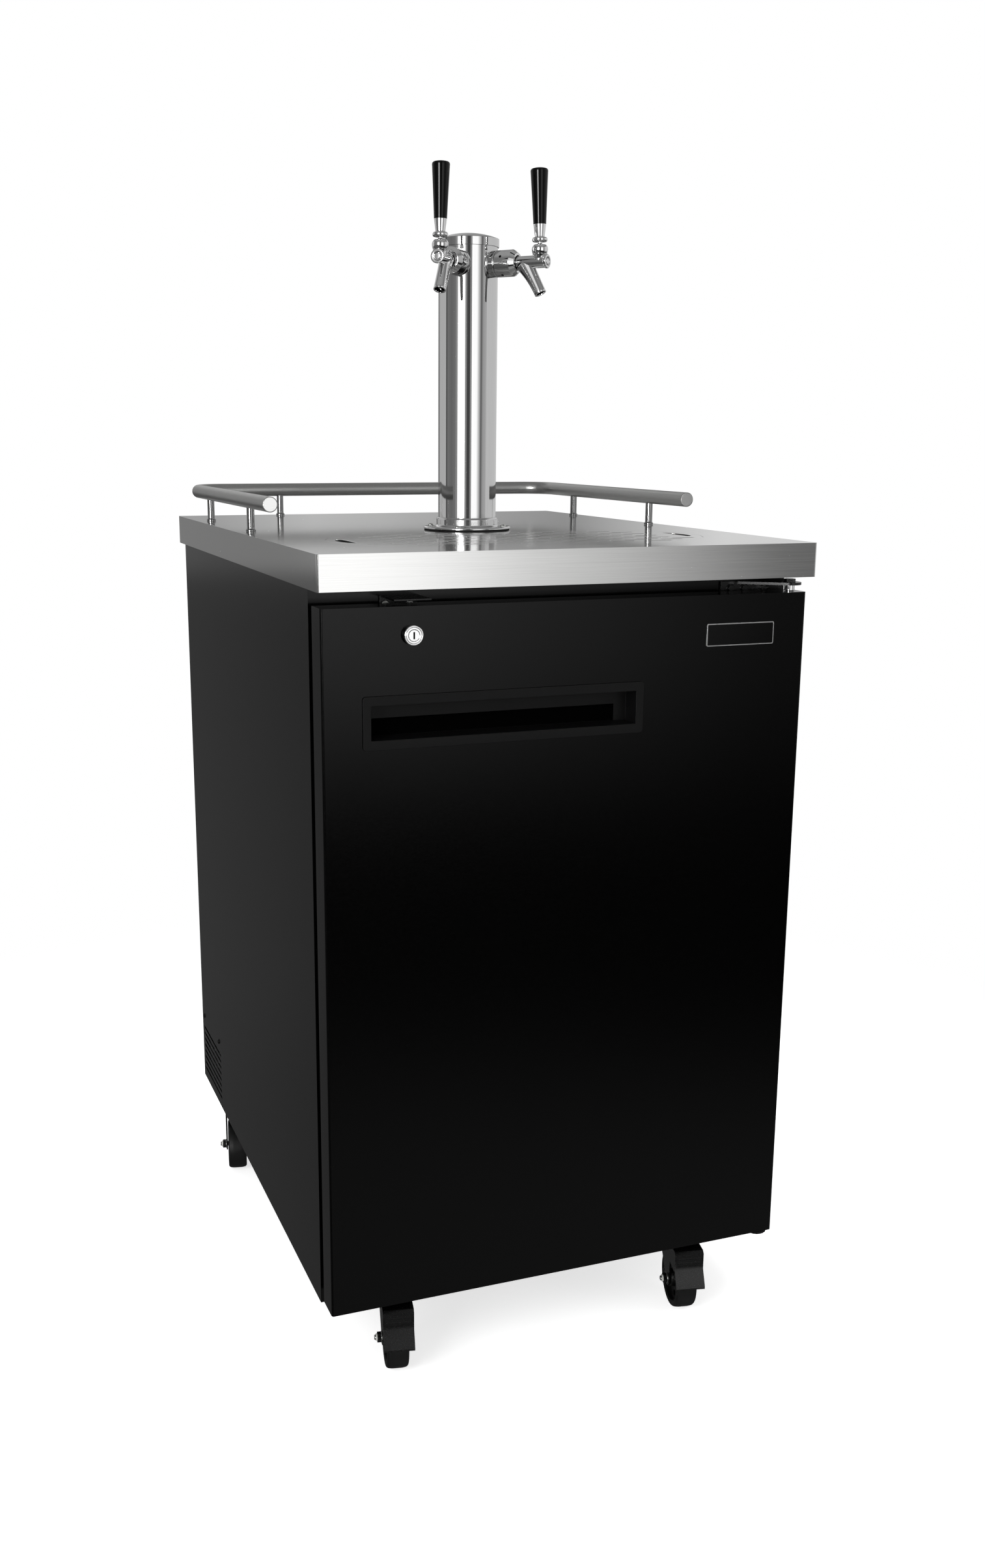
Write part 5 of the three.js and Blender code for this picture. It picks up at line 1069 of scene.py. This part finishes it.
def room_levels(azimuth, height):
    """The light at each height and azimuth. Up to 32 degrees it is the wall's, read off the
    list; over that it blends into the ceiling, which brightens towards the zenith. Under the
    floor's level, or 2.5 degrees under it in front, it blends into the low wall, and under 18
    degrees into the ground; both have one level in the front sector and one behind, and the
    low wall glows behind on the right. The narrow lamp ends at the floor's level. Over 21
    degrees wall and ceiling stay at 0.9 or less, so that the worktop stays under white from
    behind. A slightly brighter card, laid over all this, lights the left of the rail."""
    wall = np.interp(azimuth, *np.array(ROOM, float).T)[None]
    wall = np.where(height < LAMP_FOOT, np.minimum(wall, LAMP_LIMIT), wall)
    front = band(azimuth, *FRONT_SECTOR)[None]
    low, ground = (rear + (near - rear) * front for near, rear in (LOW_WALL, GROUND))
    low = low + REAR_GLOW * band(azimuth, *REAR_SECTOR)
    ceiling = CEILING + (ZENITH - CEILING) * rise(height, 44, 14)
    over, deep = rise(height, 32, 8), rise(-height, 18, 6)
    under = rise(-height, 0.1 + 2.4 * front, 0.6 + 7.4 * front)
    level = wall * (1 - over) + ceiling * over
    level = (level * (1 - under) + low * under) * (1 - deep) + ground * deep
    level += (np.minimum(level, HIGH_LIMIT) - level) * rise(height, HIGH_START, HIGH_BLUR)
    card = band(azimuth, *CARD_SECTOR)[None] * band(height, *CARD_HEIGHTS)
    return level + (CARD - level) * card


def studio_room():
    """A ball of points seen from inside: at azimuth a and height angle e the point is
    radius * (sin a cos e, -cos a cos e, sin e), and its light is kept in the mesh."""
    azimuth = np.linspace(-200, 160, ROOM_COLUMNS, endpoint=False)
    a, e = np.radians(azimuth)[None], np.radians(room_rows)[:, None]
    points = ROOM_RADIUS * np.stack([
        np.sin(a) * np.cos(e), -np.cos(a) * np.cos(e), np.sin(e) + 0 * a], -1)
    mesh = bpy.data.meshes.new("studio_room")
    mesh.from_pydata(
        points.reshape(-1, 3).tolist(), [], grid_faces(len(room_rows), ROOM_COLUMNS))
    levels = room_levels(azimuth, room_rows[:, None])
    colours = np.repeat(levels.reshape(-1, 1), 4, axis=1)
    colours[:, 3] = 1.0
    shade = mesh.attributes.new("shade", "FLOAT_COLOR", "POINT")
    shade.data.foreach_set("color", colours.ravel())
    return bpy.data.objects.new("studio_room", mesh)


room_material = bpy.data.materials.new("studio_room_light")
room_material.use_nodes = True
room_material.cycles.emission_sampling = "NONE"
tree = room_material.node_tree
tree.nodes.remove(tree.nodes["Principled BSDF"])
shade = add(tree, "ShaderNodeAttribute", attribute_name="shade")
glow = add(tree, "ShaderNodeEmission", {"Color": shade.outputs["Color"], "Strength": 1.0})
tree.links.new(glow.outputs[0], tree.nodes["Material Output"].inputs["Surface"])
room = studio_room()
room.data.materials.append(room_material)
bpy.context.scene.collection.objects.link(room)
room.visible_camera = room.visible_diffuse = room.visible_shadow = False
room.visible_transmission = room.visible_volume_scatter = False
print("room:", len(room.data.polygons), "faces")

# %% [markdown]
# ## Closing
#
# The view transform Standard shows colours as they are written.

# %% Colour management
bpy.context.scene.view_settings.view_transform = "Standard"
